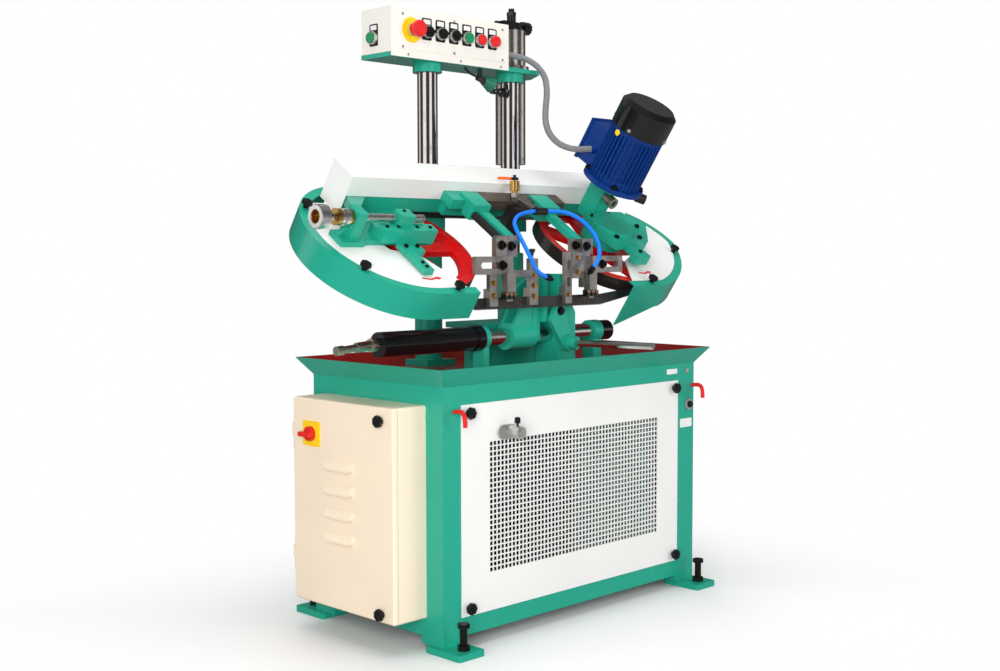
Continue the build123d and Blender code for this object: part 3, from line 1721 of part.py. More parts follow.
# finned motor with its flange, end shields and terminal box
with BuildPart() as motor:
    post_along(on_bow(motor_u, motor_v, flange_n), flange_radius, flange_thickness)
    with BuildSketch(on_bow(motor_u, motor_v, body_n)):
        Circle(motor_radius - fin_height)
        with PolarLocations(motor_radius - fin_height, fin_count):
            Rectangle(2 * fin_height, fin_thickness)
    extrude(amount=motor_length)
    post_along(on_bow(motor_u, motor_v, body_n), motor_radius - shield_inset, shield_length)
    ring_plane = on_bow(motor_u, motor_v, fan_n - end_ring_length)
    post_along(ring_plane, motor_radius - end_ring_inset, end_ring_length)
    terminal_end = terminal_u + terminal_width
    bow_block((terminal_u, terminal_end), terminal_v, (terminal_n[0] + terminal_rise, terminal_n[1]))
    lid_v = (terminal_v[1], terminal_v[1] + lid_thickness)
    lid_n = (terminal_n[0] + terminal_rise - lid_lap, terminal_n[1] + lid_lap)
    bow_block((terminal_u - lid_lap, terminal_end + lid_lap), lid_v, lid_n)
    entry = Vector(*conduit_points[-1])
    entry_plane = Plane(entry, z_dir=entry - Vector(*conduit_points[-2]))
    post_along(entry_plane, conduit_radius + conduit_gland_wall, conduit_gland_length)
save(motor, "motor")

with BuildPart() as fan_cover:
    with BuildSketch(on_bow(motor_u, motor_v, fan_n)):
        Circle(motor_radius + fan_cover_wall)
    extrude(amount=fan_length)
    crown = fan_cover.faces().sort_by(Axis(bow_plane.origin, bow_plane.z_dir))[-1]
    chamfer(crown.edges(), fan_cover_edge)
save(fan_cover, "fan_cover")

piston_z = gland_top + piston_lift
rod_foot = sleeve_bottom - rod_tail
# piston rod of the lift cylinder with its nut under the bracket
with BuildPart() as lift_rod:
    post_along(Plane((lift_x, lift_y, rod_foot)), rod_radius, piston_z + piston_length - rod_foot)
    post_along(Plane((lift_x, lift_y, piston_z)), lift_bore - piston_clearance, piston_length)
    with BuildSketch(Plane((lift_x, lift_y, sleeve_bottom - rod_nut_height))):
        RegularPolygon(rod_radius + rod_nut_wall, 6)
    extrude(amount=rod_nut_height)
save(lift_rod, "lift_rod")

slide_top = slide_n + slide_height
slide_back = slide_v + slide_depth
nut_top = screw_n + screw_radius + nut_cover
# tension slide with the idler axle below, the nut above and the two-bolt arm in front
with BuildPart() as slide_block:
    crown_v = (slide_v, slide_v + slide_depth * slide_crown)
    bow_block((slide_left, slide_right), crown_v, (slide_n, slide_top))
    bow_block((slide_left, slide_right), (slide_v, slide_back), (slide_n, slide_top - slide_step))
    nut_v = (screw_v - nut_front, slide_back - nut_back)
    bow_block((nut_u - nut_half, nut_u + nut_half), nut_v, (slide_top - slide_step, nut_top))
    nut_bore = screw_radius + device_clearance
    post_along(across_bow(nut_u - nut_half, screw_v, screw_n), nut_bore, 2 * nut_half, Mode.SUBTRACT)
    axle_plane = on_bow(idler_u, wheel_v, hub_back - axle_tail)
    post_along(axle_plane, axle_radius, slide_n - hub_back + axle_tail)
    post_along(axle_plane, axle_radius + washer_wall, axle_washer)
    arm_n = (slide_floor, slide_n + slide_arm_rise)
    arm_u = (slide_left + slide_arm[0], slide_left + slide_arm[1])
    bow_block(arm_u, (slide_v - slide_arm_reach, slide_v), arm_n)
    finger_u = (slide_left + slide_finger[0], slide_left + slide_finger[1])
    bow_block(finger_u, (slide_v - slide_finger_reach, slide_v - slide_arm_reach), arm_n)
save(slide_block, "slide_block")

spring_u = bracket_u - spring_count * spring_pitch
wheel_end = handwheel_u + handwheel_width / 2
# tension screw with its dished handwheel and the stack of disc springs against the bracket
with BuildPart() as tension_screw:
    with BuildSketch(across_bow(handwheel_u - handwheel_width / 2, screw_v, screw_n)):
        Circle(handwheel_radius)
        Circle(handwheel_bore, mode=Mode.SUBTRACT)
    extrude(amount=handwheel_width)
    outer_rim = tension_screw.edges().filter_by(GeomType.CIRCLE).group_by(Axis.X)[0].sort_by(SortBy.RADIUS)[-1]
    chamfer(outer_rim, handwheel_edge)
    web_plane = across_bow(wheel_end - handwheel_web_sink, screw_v, screw_n)
    post_along(web_plane, handwheel_bore + handwheel_web_lap, handwheel_web)
    post_along(across_bow(wheel_end, screw_v, screw_n), handwheel_hub, handwheel_hub_length)
    post_along(across_bow(wheel_end, screw_v, screw_n), screw_neck, spring_u - wheel_end)
    post_along(across_bow(spring_u, screw_v, screw_n), screw_radius, screw_end - spring_u)
    for step in range(spring_count):
        plane = across_bow(spring_u + spring_pitch * step, screw_v, screw_n)
        post_along(plane, spring_radius - spring_dish * (step % 2), spring_pitch - device_clearance)
save(tension_screw, "tension_screw")

pad_low = band_guide_z - band_width / 2 + pad_lift
band_edge = band_guide_z + band_width / 2
pad_face = band_thickness / 2 + pad_gap
roller_y = band_guide_y - pad_face - roller_radius
roller_top = band_edge + roller_lift
roller_low = roller_top - roller_height


def guide_arm(u, clamp_left, clamp_right):
    """Clamp on the guide bar and the flat arm that runs down the bow."""
    clamp_front = bar_front - clamp_depth
    bow_block((clamp_left, clamp_right), (clamp_front, bar_front), (clamp_low, bar_top + clamp_rise))
    lip_n = (bar_top + device_clearance, bar_top + clamp_rise)
    bow_block((clamp_left, clamp_right), (bar_front, bar_front + clamp_lip), lip_n)
    bow_block((u - arm_width / 2, u + arm_width / 2), (arm_end_v, clamp_front), (arm_n_low, arm_n_high))


def guide_pad(left, right, top):
    """Plates either side of the upright band, joined above its back edge."""
    front = (band_guide_y - pad_front, band_guide_y - pad_face)
    rear = (band_guide_y + pad_face, band_guide_y + pad_rear)
    bridge_top = band_edge + pad_bridge
    block((left, right), front, (pad_low, top))
    block((left, right), rear, (pad_low, bridge_top))
    block((left, right), (front[0], rear[1]), (band_edge + pad_bridge_gap, bridge_top))


def slotted_plate(left, right, slot_x, slot_half):
    """Steel cross plate with a long slot for its clamp bolt."""
    y = (band_guide_y - plate_front_y, band_guide_y - plate_rear_y)
    block((left, right), y, (plate_z - plate_high / 2, plate_z + plate_high / 2))
    ends = (slot_x - slot_half, slot_x + slot_half)
    block(ends, y, (plate_z - slot_radius, plate_z + slot_radius), Mode.SUBTRACT)
    for x in ends:
        post_along(facing_front(x, y[1], plate_z), slot_radius, y[1] - y[0], Mode.SUBTRACT)


def roller_holder(x):
    """Block over the roller with the pin and head that carry it."""
    holder_y = (roller_y - holder_front, band_guide_y - plate_rear_y)
    holder_z = (roller_top + holder_gap, plate_z - plate_high / 2 + holder_lap)
    block((x - holder_half, x + holder_half), holder_y, holder_z)
    pin_low = roller_low - pin_tail
    post_along(Plane((x, roller_y, pin_low)), roller_pin, roller_top - pin_low + pin_rise)
    post_along(Plane((x, roller_y, pin_low)), roller_pin + roller_head_wall, roller_head_height)


backing_y = (band_guide_y + backing_gap, band_guide_y + backing_gap + backing_thickness)

# left guide on its sliding arm, with the black stay bar beside it
with BuildPart() as left_guide:
    guide_arm(left_arm_u, left_arm_u + left_clamp[0], left_arm_u + left_clamp[1])
    stay_plane = down_bow(left_arm_u + stay_bar_shift, bar_front - clamp_depth, stay_bar_n)
    post_along(stay_plane, stay_bar_radius, stay_bar_length)
    block((left_arm_u + left_backing[0], left_arm_u + left_backing[1]), backing_y, left_backing_z)
    block(
        (left_arm_u + left_post[0], left_arm_u + left_post[1]),
        (band_guide_y - plate_rear_y, band_guide_y + left_post_back),
        (plate_z - left_post_sink, left_post_top),
    )
    slotted_plate(*left_plate, left_slot_x, left_slot_half)
    block(link_x, (band_guide_y + link_y[0], band_guide_y + link_y[1]), link_z)
    for pad in left_pads:
        guide_pad(*pad)
    roller_holder(left_roller_x)
    inner_left, inner_right, inner_top = left_pads[1]
    screw_spot = Vector((inner_left + inner_right) / 2, band_guide_y - pad_screw_front, inner_top)
    post_along(Plane(screw_spot), pad_screw_radius, pad_screw_length)
    add(knob(Plane(screw_spot).offset(pad_knob_rise), pad_knob_radius, pad_knob_height))
save(left_guide, "left_guide")

# right guide on its fixed arm
with BuildPart() as right_guide:
    guide_arm(right_arm_u, right_arm_u + right_clamp[0], right_arm_u + right_clamp[1])
    block((right_arm_u + right_backing[0], right_arm_u + right_backing[1]), backing_y, right_backing_z)
    post_x = (right_arm_u - right_post_half, right_arm_u + right_post_half)
    post_y = (band_guide_y - plate_rear_y, band_guide_y + right_post_back)
    block(post_x, post_y, (right_post_bottom, right_backing_z[1]))
    guide_pad(*right_pad)
    pad_left, pad_right, pad_top = right_pad
    with BuildSketch(facing_front((pad_left + pad_right) / 2, band_guide_y - pad_screw_front, 0)):
        for z in pad_slot_zs:
            with Locations((0, z)):
                SlotOverall(pad_slot_length, pad_slot_width, rotation=90)
    extrude(amount=pad_slot_depth, mode=Mode.SUBTRACT)
    bridge_y = (band_guide_y + right_bridge_y[0], band_guide_y + right_bridge_y[1])
    block((pad_right, post_x[0]), bridge_y, (right_bridge_bottom, pad_top))
    slotted_plate(right_arm_u + right_plate_start, right_plate_end, right_slot_x, right_slot_half)
    roller_holder(right_roller_x)
save(right_guide, "right_guide")


def guide_roller(x):
    """Bearing that holds the face of the band."""
    with BuildPart() as roller:
        with BuildSketch(Plane((x, roller_y, roller_low))):
            Circle(roller_radius)
            Circle(roller_pin + device_clearance, mode=Mode.SUBTRACT)
        extrude(amount=roller_height)
    return roller


save(guide_roller(left_roller_x), "left_guide_roller")
save(guide_roller(right_roller_x), "right_guide_roller")

valve_foot = bow_plane.from_local_coords(Vector(coolant_u, coolant_v, bar_top))
tee_left = bow_plane.from_local_coords(Vector(tee_u - tee_half, tee_v, tee_n))
tee_right = bow_plane.from_local_coords(Vector(tee_u + tee_half, tee_v, tee_n))
tee_middle = bow_plane.from_local_coords(Vector(tee_u, tee_v, tee_n))
# upright ball valve on the guide bar, bent pipe to the tee, and the black bar below it
with BuildPart() as coolant_manifold:
    post_along(on_bow(coolant_u, coolant_v, bar_top), spout_radius, spout_height)
    upright = Plane(valve_foot)
    with BuildSketch(upright.offset(valve_nut_start)):
        RegularPolygon(valve_nut, 6)
    extrude(amount=valve_nut_height)
    post_along(upright.offset(valve_neck_start), valve_neck, valve_neck_height)
    post_along(upright.offset(valve_ball_start), valve_ball, valve_ball_height)
    post_along(upright.offset(valve_ball_start + valve_ball_height), lever_pin, valve_pin_length)
    elbow = valve_foot + Vector(0, 0, elbow_height)
    post_along(Plane(elbow, z_dir=tee_middle - elbow), pipe_radius, (tee_middle - elbow).length)
    post_along(across_bow(tee_u - tee_half, tee_v, tee_n), hose_radius + tee_wall, 2 * tee_half)
    bow_block(
        (coolant_u + stay_u[0], coolant_u + stay_u[1]),
        (bar_front - stay_depth, bar_front),
        (stay_low, bar_top - stay_drop),
    )
save(coolant_manifold, "coolant_manifold")

# flat handle of the ball valve
with BuildPart() as coolant_lever:
    with BuildSketch(upright.offset(valve_ball_start + valve_ball_height + handle_gap)):
        with Locations((-handle_shift, 0)):
            SlotOverall(handle_length, handle_width)
        Circle(lever_pin + device_clearance, mode=Mode.SUBTRACT)
    extrude(amount=handle_thickness)
save(coolant_lever, "coolant_lever")

left_hose_points = [
    tuple(tee_left),
    (-32, -69, 945),
    (-72, -84, 935),
    (-104, -107, 917),
    (-122, -138, 896),
    (-129, -165, 868),
    (-130, -184, 842),
    (-123, -192, 817),
    (-107, -194, 802),
    (-87, -194, 796),
]
save(cord(left_hose_points, hose_radius), "coolant_hose_left")
right_hose_points = [
    tuple(tee_right),
    (84, -72, 952),
    (106, -94, 945),
    (119, -122, 928),
    (124, -150, 902),
    (119, -173, 874),
    (109, -186, 848),
    (95, -191, 828),
    (77, -192, 814),
]
save(cord(right_hose_points, hose_radius), "coolant_hose_right")


def nozzle(points):
    """Black nozzle on the end of a hose."""
    spot = Vector(*points[-1])
    plane = Plane(spot, z_dir=spot - Vector(*points[-2]))
    post_along(plane, hose_radius + nozzle_wall, nozzle_length)
    post_along(plane.offset(nozzle_length), hose_radius - nozzle_tip_step, nozzle_tip_length)


with BuildPart() as coolant_nozzles:
    nozzle(left_hose_points)
    nozzle(right_hose_points)
save(coolant_nozzles, "coolant_nozzles")
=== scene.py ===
from math import ceil, cos, pi, radians, sin

import bpy
from bpy.props import FloatProperty, FloatVectorProperty, IntProperty, PointerProperty
from mathutils import Matrix, Vector


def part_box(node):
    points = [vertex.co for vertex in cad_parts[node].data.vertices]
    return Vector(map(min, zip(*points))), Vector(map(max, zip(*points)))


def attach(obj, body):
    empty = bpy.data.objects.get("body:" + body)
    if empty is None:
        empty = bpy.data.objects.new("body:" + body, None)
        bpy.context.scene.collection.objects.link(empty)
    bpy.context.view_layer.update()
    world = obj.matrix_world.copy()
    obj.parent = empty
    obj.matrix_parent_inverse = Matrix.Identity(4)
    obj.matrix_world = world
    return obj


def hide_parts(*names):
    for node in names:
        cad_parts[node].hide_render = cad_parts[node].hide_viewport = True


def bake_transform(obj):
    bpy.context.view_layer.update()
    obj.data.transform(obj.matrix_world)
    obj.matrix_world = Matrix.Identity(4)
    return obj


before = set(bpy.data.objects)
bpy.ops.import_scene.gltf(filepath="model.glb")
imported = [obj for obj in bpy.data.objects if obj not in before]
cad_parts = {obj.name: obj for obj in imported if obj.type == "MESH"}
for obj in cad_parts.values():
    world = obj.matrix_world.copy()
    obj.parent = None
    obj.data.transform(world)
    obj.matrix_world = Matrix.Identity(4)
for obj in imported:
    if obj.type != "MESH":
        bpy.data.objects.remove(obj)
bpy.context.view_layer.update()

bl_info = {
    "name": "Double column band saw",
    "version": (1, 0, 0),
    "blender": (4, 5, 0),
    "location": "View3D > Sidebar > Band saw",
    "description": "Finishes and small pieces of a band saw that lifts on two columns",
    "category": "Add Mesh",
}

MM = 0.001
X_AXIS = Vector((1, 0, 0))
Y_AXIS = Vector((0, 1, 0))

# the saw bow leans back about X; u runs to the right, v up the bow and n out of its face
BOW_TILT = radians(34)
BOW_FOOT = Vector((0, -197, 768.5))
BOW_UP = Vector((0, cos(BOW_TILT), sin(BOW_TILT)))
BOW_OUT = Vector((0, -sin(BOW_TILT), cos(BOW_TILT)))


def bow(u, v, n):
    """A spot on the saw bow, in millimetres of the part's frame."""
    return BOW_FOOT + X_AXIS * u + BOW_UP * v + BOW_OUT * n


def facing(spot, outward, right):
    """Placement in millimetres whose Z looks outward and whose X runs to the right."""
    z = Vector(outward).normalized()
    y = z.cross(Vector(right)).normalized()
    x = y.cross(z)
    turn = Matrix((x, y, z)).transposed().to_4x4()
    return Matrix.Translation(Vector(spot)) @ turn


def on_bow(u, v, n):
    return facing(bow(u, v, n), BOW_OUT, X_AXIS)


def to_front(x, y, z):
    return facing((x, y, z), -Y_AXIS, X_AXIS)


def to_left(x, y, z):
    return facing((x, y, z), -X_AXIS, -Y_AXIS)


# spots on the bow that several pieces share
WHEEL_V = 200
IDLER_U, DRIVE_U = -368, 290
MOTOR_U, MOTOR_V = 278, 240
TENSION_V, TENSION_N = 200, 56
TEE_V, TEE_N = 213, 75
LEFT_ARM_U, RIGHT_ARM_U = -136, 89


class SawColours(bpy.types.PropertyGroup):
    """Colours of the finishes."""

    green: FloatVectorProperty(
        name="Machine green", description="Paint of the frame and castings",
        subtype="COLOR", default=(0.014, 0.35, 0.24), min=0, max=1)
    white: FloatVectorProperty(
        name="Cover white", description="Paint of the covers and the front panel",
        subtype="COLOR", default=(0.83, 0.83, 0.81), min=0, max=1)
    cream: FloatVectorProperty(
        name="Cabinet cream", description="Paint of the cabinet and the control box",
        subtype="COLOR", default=(0.91, 0.765, 0.59), min=0, max=1)
    red: FloatVectorProperty(
        name="Wheel red", description="Paint of the band wheels",
        subtype="COLOR", default=(0.62, 0.006, 0.008), min=0, max=1)
    tray_red: FloatVectorProperty(
        name="Tray red", description="Paint inside the tray",
        subtype="COLOR", default=(0.24, 0.008, 0.008), min=0, max=1)
    blue: FloatVectorProperty(
        name="Motor blue", description="Paint of the motor",
        subtype="COLOR", default=(0.002, 0.034, 0.20), min=0, max=1)
    hose: FloatVectorProperty(
        name="Hose blue", description="Coolant hoses",
        subtype="COLOR", default=(0.006, 0.19, 0.85), min=0, max=1)
    orange: FloatVectorProperty(
        name="Lever orange", description="Grip of the coolant lever",
        subtype="COLOR", default=(0.95, 0.13, 0.005), min=0, max=1)
    yellow: FloatVectorProperty(
        name="Switch yellow", description="Plates behind the red switches",
        subtype="COLOR", default=(0.95, 0.62, 0.01), min=0, max=1)
    button_green: FloatVectorProperty(
        name="Button green", description="Caps of the start buttons",
        subtype="COLOR", default=(0.006, 0.24, 0.085), min=0, max=1)
    button_red: FloatVectorProperty(
        name="Button red", description="Caps of the stop buttons",
        subtype="COLOR", default=(0.72, 0.012, 0.012), min=0, max=1)
    steel: FloatVectorProperty(
        name="Steel", description="Ground steel of the guides",
        subtype="COLOR", default=(0.46, 0.43, 0.40), min=0, max=1)
    brass: FloatVectorProperty(
        name="Brass", description="Coolant valve and fittings",
        subtype="COLOR", default=(0.68, 0.40, 0.12), min=0, max=1)
    grey: FloatVectorProperty(
        name="Conduit grey", description="Ribbed conduit",
        subtype="COLOR", default=(0.22, 0.222, 0.23), min=0, max=1)


class SawSizes(bpy.types.PropertyGroup):
    """Sizes of the pieces that are made here."""

    hole_columns: IntProperty(name="Hole columns", description="Square holes across the grille",
                              default=50, min=2)
    hole_rows: IntProperty(name="Hole rows", description="Square holes up the grille",
                           default=25, min=2)
    hole_width: FloatProperty(name="Hole width", description="Open share of the pitch across",
                              default=0.83, min=0.1, max=0.9, subtype="FACTOR")
    hole_height: FloatProperty(name="Hole height", description="Open share of the pitch upward",
                               default=0.74, min=0.1, max=0.9, subtype="FACTOR")
    tooth_pitch: FloatProperty(name="Tooth pitch", description="Pitch of the band's teeth, in millimetres",
                               default=6.0, min=1)
    tooth_depth: FloatProperty(name="Tooth depth", description="Depth of the band's teeth, in millimetres",
                               default=2.6, min=0.2)
    rib_pitch: FloatProperty(name="Rib pitch", description="Pitch of the conduit's ribs, in millimetres",
                             default=3.0, min=1)


class SawView(bpy.types.PropertyGroup):
    """The camera."""

    place: FloatVectorProperty(name="Place", description="Where the camera stands", subtype="TRANSLATION",
                               unit="LENGTH", default=(-2.2862, -2.2454, 0.8577))
    heading: FloatProperty(name="Heading", description="Turn to the right of straight ahead",
                           subtype="ANGLE", default=radians(44.973))
    dip: FloatProperty(name="Dip", description="How far the camera looks down",
                       subtype="ANGLE", default=radians(3.723))
    roll: FloatProperty(name="Roll", description="Lean of the camera",
                        subtype="ANGLE", default=radians(-0.111))
    lens: FloatProperty(name="Lens", description="Focal length on a 36 mm frame, in millimetres",
                        default=47.41)


class Wire:
    """A number that varies over a surface, used in ordinary sums."""

    def __init__(self, sheet, socket):
        self.sheet = sheet
        self.socket = socket

    def _sum(self, operation, first, second):
        return self.sheet.node("ShaderNodeMath", {"operation": operation}, {0: first, 1: second})

    def __add__(self, other):
        return self._sum("ADD", self, other)

    __radd__ = __add__

    def __sub__(self, other):
        return self._sum("SUBTRACT", self, other)

    def __rsub__(self, other):
        return self._sum("SUBTRACT", other, self)

    def __mul__(self, other):
        return self._sum("MULTIPLY", self, other)

    __rmul__ = __mul__

    def __truediv__(self, other):
        return self._sum("DIVIDE", self, other)

    def __abs__(self):
        return self._sum("ABSOLUTE", self, 0)

    def __gt__(self, other):
        return self._sum("GREATER_THAN", self, other)

    def __lt__(self, other):
        return self._sum("LESS_THAN", self, other)

    def root(self):
        return self._sum("SQRT", self, 0)

    def between(self, low, high):
        return (self > low) * (self < high)


class NodeSheet:
    """A tree of nodes that is cleared and drawn afresh."""

    def __init__(self, tree):
        self.tree = tree
        self.tree.nodes.clear()

    def put(self, socket, value):
        if isinstance(value, Wire):
            self.tree.links.new(value.socket, socket)
        elif socket.type == "RGBA" and len(value) == 3:
            socket.default_value = (*value, 1)
        else:
            socket.default_value = value

    def node(self, kind, settings=None, sockets=None, output=0):
        """Any node: its settings are set first, then its sockets, and one output comes back."""
        made = self.tree.nodes.new(kind)
        for name, value in (settings or {}).items():
            setattr(made, name, value)
        for name, value in (sockets or {}).items():
            self.put(made.inputs[name], value)
        return Wire(self, made.outputs[output])

    def place(self):
        """Where a spot lies in the part's frame, in metres."""
        return self.node("ShaderNodeTexCoord", output="Object")

    def part_of(self, vector, axis):
        return self.node("ShaderNodeSeparateXYZ", None, {0: vector}, axis)

    def stretched(self, vector, scale):
        return self.node("ShaderNodeVectorMath", {"operation": "MULTIPLY"}, {0: vector, 1: scale})

    def minus(self, vector, other):
        return self.node("ShaderNodeVectorMath", {"operation": "SUBTRACT"}, {0: vector, 1: other})

    def dot(self, vector, other):
        return self.node("ShaderNodeVectorMath", {"operation": "DOT_PRODUCT"}, {0: vector, 1: other}, "Value")

    def on_bow(self):
        """Where a spot lies on the saw bow: along, up and out of it, in millimetres."""
        offset = self.minus(self.place(), BOW_FOOT * MM)
        for axis in (X_AXIS, BOW_UP, BOW_OUT):
            yield self.dot(offset, axis) / MM

    def noise(self, vector, scale, detail=2.0, roughness=0.5):
        sockets = {"Vector": vector, "Scale": scale, "Detail": detail, "Roughness": roughness}
        return self.node("ShaderNodeTexNoise", None, sockets, "Fac")

    def toned(self, colour, tone):
        """A colour made lighter or darker by a number."""
        return self.node("ShaderNodeVectorMath", {"operation": "SCALE"}, {0: colour, "Scale": tone})

    def mixed(self, share, first, second):
        """From the first colour to the second."""
        return self.node("ShaderNodeMix", {"data_type": "RGBA"}, {0: share, 6: first, 7: second}, 2)

    def step(self, value, low, high):
        """0 below low, 1 above high, and smooth between."""
        sockets = {"Value": value, "From Min": low, "From Max": high}
        return self.node("ShaderNodeMapRange", {"interpolation_type": "SMOOTHSTEP"}, sockets)


class Finish(NodeSheet):
    """One material: its nodes and its surface shader."""

    def __init__(self, name):
        self.material = bpy.data.materials.new(name)
        self.material.use_nodes = True
        super().__init__(self.material.node_tree)
        self.shader = self.tree.nodes.new("ShaderNodeBsdfPrincipled")
        self.output = self.tree.nodes.new("ShaderNodeOutputMaterial")
        self.tree.links.new(self.shader.outputs[0], self.output.inputs["Surface"])

    def set(self, **values):
        for name, value in values.items():
            self.put(self.shader.inputs[name.replace("_", " ")], value)
        return self

    def repaint(self, share, colour, roughness=0.35, metallic=0.0):
        """Lay another coat where the share is 1."""
        for name, value in (("Base_Color", colour), ("Roughness", roughness), ("Metallic", metallic)):
            socket = self.shader.inputs[name.replace("_", " ")]
            before = Wire(self, socket.links[0].from_socket) if socket.is_linked else socket.default_value
            if name == "Base_Color":
                self.set(Base_Color=self.mixed(share, before, value))
            else:
                self.set(**{name: share * value + (1 - share) * before})
        return self

    def relief(self, height, strength, distance, edge=0.0008):
        """Bump on top of softly rounded edges."""
        rounded = self.node("ShaderNodeBevel", {"samples": 4}, {"Radius": edge})
        sockets = {"Strength": strength, "Distance": distance, "Height": height, "Normal": rounded}
        self.set(Normal=self.node("ShaderNodeBump", None, sockets))
        return self


def enamel(name, colour, roughness=0.22, peel=0.25, coat=0.25):
    """Sprayed machine paint: soft orange peel, faint clouds and a little handling wear."""
    finish = Finish(name)
    place = finish.place()
    cloud = finish.noise(place, scale=5, detail=3)
    peeling = finish.noise(place, scale=420)
    rubbed = finish.step(finish.noise(place, scale=38, detail=6, roughness=0.72), low=0.60, high=0.74)
    dust = finish.step(finish.noise(place, scale=160, detail=4, roughness=0.7), low=0.58, high=0.75)
    tone = 0.93 + cloud * 0.12 - rubbed * 0.035 + dust * 0.02
    finish.set(
        Base_Color=finish.toned(colour, tone),
        Roughness=roughness + cloud * 0.08 + rubbed * 0.10,
        Coat_Weight=coat,
        Coat_Roughness=0.12,
        Specular_IOR_Level=0.3,
    )
    return finish.relief(peeling + dust * 0.2, strength=peel, distance=0.0004)


def cast_enamel(name, colour):
    """Paint over rough cast iron."""
    finish = Finish(name)
    place = finish.place()
    lumps = finish.noise(place, scale=130, detail=4, roughness=0.6)
    cloud = finish.noise(place, scale=9, detail=3)
    mottle = finish.step(finish.noise(place, scale=26, detail=5, roughness=0.7), low=0.58, high=0.78)
    finish.set(
        Base_Color=finish.toned(colour, 0.92 + cloud * 0.14 - mottle * 0.12),
        Roughness=0.34 + lumps * 0.12 + mottle * 0.08,
        Coat_Weight=0.1,
        Coat_Roughness=0.2,
        Specular_IOR_Level=0.3,
    )
    return finish.relief(lumps, strength=0.35, distance=0.0012, edge=0.0014)


def polished(name, colour, roughness=0.09, grain=(3, 3, 260), darkening=0.25):
    """Hard chrome or turned steel with fine marks across its length."""
    finish = Finish(name)
    place = finish.place()
    rings = finish.noise(finish.stretched(place, grain), scale=4, detail=3, roughness=0.6)
    stain = finish.step(finish.noise(place, scale=17, detail=5, roughness=0.66), low=0.52, high=0.76)
    finish.set(
        Base_Color=finish.toned(colour, 1.0 - stain * darkening - rings * 0.08),
        Metallic=1.0,
        Roughness=roughness + rings * 0.10 + stain * 0.12,
    )
    return finish.relief(rings, strength=0.12, distance=0.0002, edge=0.0006)


def ground_steel(name, colour, grain=(700, 700, 30), patch=0.35):
    """Ground plate: straight grinding lines and darker handled patches."""
    finish = Finish(name)
    place = finish.place()
    lines = finish.noise(finish.stretched(place, grain), scale=1, detail=3, roughness=0.65)
    worn = finish.step(finish.noise(place, scale=22, detail=6, roughness=0.7), low=0.44, high=0.72)
    finish.set(
        Base_Color=finish.toned(colour, 1.08 - worn * patch - lines * 0.18),
        Metallic=0.9,
        Roughness=0.30 + lines * 0.16 + worn * 0.12,
    )
    return finish.relief(lines, strength=0.18, distance=0.0003, edge=0.0006)


def moulded(name, colour, roughness=0.42, grain=900, coat=0.0):
    """Moulded plastic with a fine spark-eroded grain."""
    finish = Finish(name)
    place = finish.place()
    fine = finish.noise(place, scale=grain)
    cloud = finish.noise(place, scale=30, detail=3)
    finish.set(
        Base_Color=finish.toned(colour, 0.9 + cloud * 0.2),
        Roughness=roughness + fine * 0.12,
        Coat_Weight=coat,
        Coat_Roughness=0.08,
        Specular_IOR_Level=0.35,
    )
    return finish.relief(fine, strength=0.12, distance=0.0003, edge=0.0005)


# colours of the finishes that a user would leave alone
SATIN_BLACK = (0.005, 0.005, 0.0055)
BLACKENED_STEEL = (0.03, 0.026, 0.024)
# near-black of the faces inside the base frame: painted shade
FRAME_INSIDE_SHADE = (0.004, 0.006, 0.006)
RUST = (0.13, 0.075, 0.045)
STAY_BLACK = (0.014, 0.013, 0.013)
BARE_BAR = (0.13, 0.10, 0.08)
BARE_SOCKET = (0.46, 0.42, 0.36)
OILY_PLUG = (0.05, 0.042, 0.034)
RIM_GRIME = (0.016, 0.013, 0.012)
# dark red of the wheels' backs: painted shade
PAINTED_WHEEL_SHADE = (0.05, 0.006, 0.006)
BEND_STEEL = (0.34, 0.31, 0.28)
TEE_BLACK = (0.013, 0.012, 0.012)
SCREW_STEEL = (0.82, 0.79, 0.75)
BOX_CREAM = (0.86, 0.83, 0.76)
CHROME = (0.52, 0.48, 0.46)
CYLINDER_STEEL = (0.52, 0.48, 0.44)
TURNED_STEEL = (0.78, 0.75, 0.72)
ROLLER_BRONZE = (0.34, 0.19, 0.11)
ROD_STEEL = (0.72, 0.67, 0.58)
LAMP_BLACK = (0.03, 0.028, 0.024)
LAMP_GREEN = (0.02, 0.16, 0.11)
BAND_STEEL = (0.10, 0.095, 0.09)
ZINC = (0.74, 0.74, 0.72)
WINDOW_WHITE = (0.80, 0.80, 0.80)
ARROW_RED = (0.70, 0.01, 0.01)


def tray_paint(name, outside, inside):
    """Green outside, red inside: the inside lies a sheet's thickness behind the flared outer walls."""
    flare, wall, floor = 30 * MM, 1.5 * MM, 2 * MM
    finish = enamel(name, outside)
    place = finish.place()
    x, y, z = (finish.part_of(place, axis) for axis in "XYZ")
    low, high = (Vector(c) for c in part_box("tray"))
    rise = (z - low.z) * (flare / (high.z - low.z))
    in_length = abs(x) < rise + (high.x - flare - wall)
    in_depth = abs(y) < rise + (high.y - flare - wall)
    within = in_length * in_depth * (z > low.z + floor)
    blotches = finish.noise(place, scale=12, detail=5, roughness=0.6)
    red = finish.toned(inside, 0.75 + blotches * 0.5)
    green = finish.toned(outside, 0.93 + blotches * 0.12)
    return finish.set(Base_Color=finish.mixed(within, green, red), Roughness=0.36 - within * blotches * 0.25)


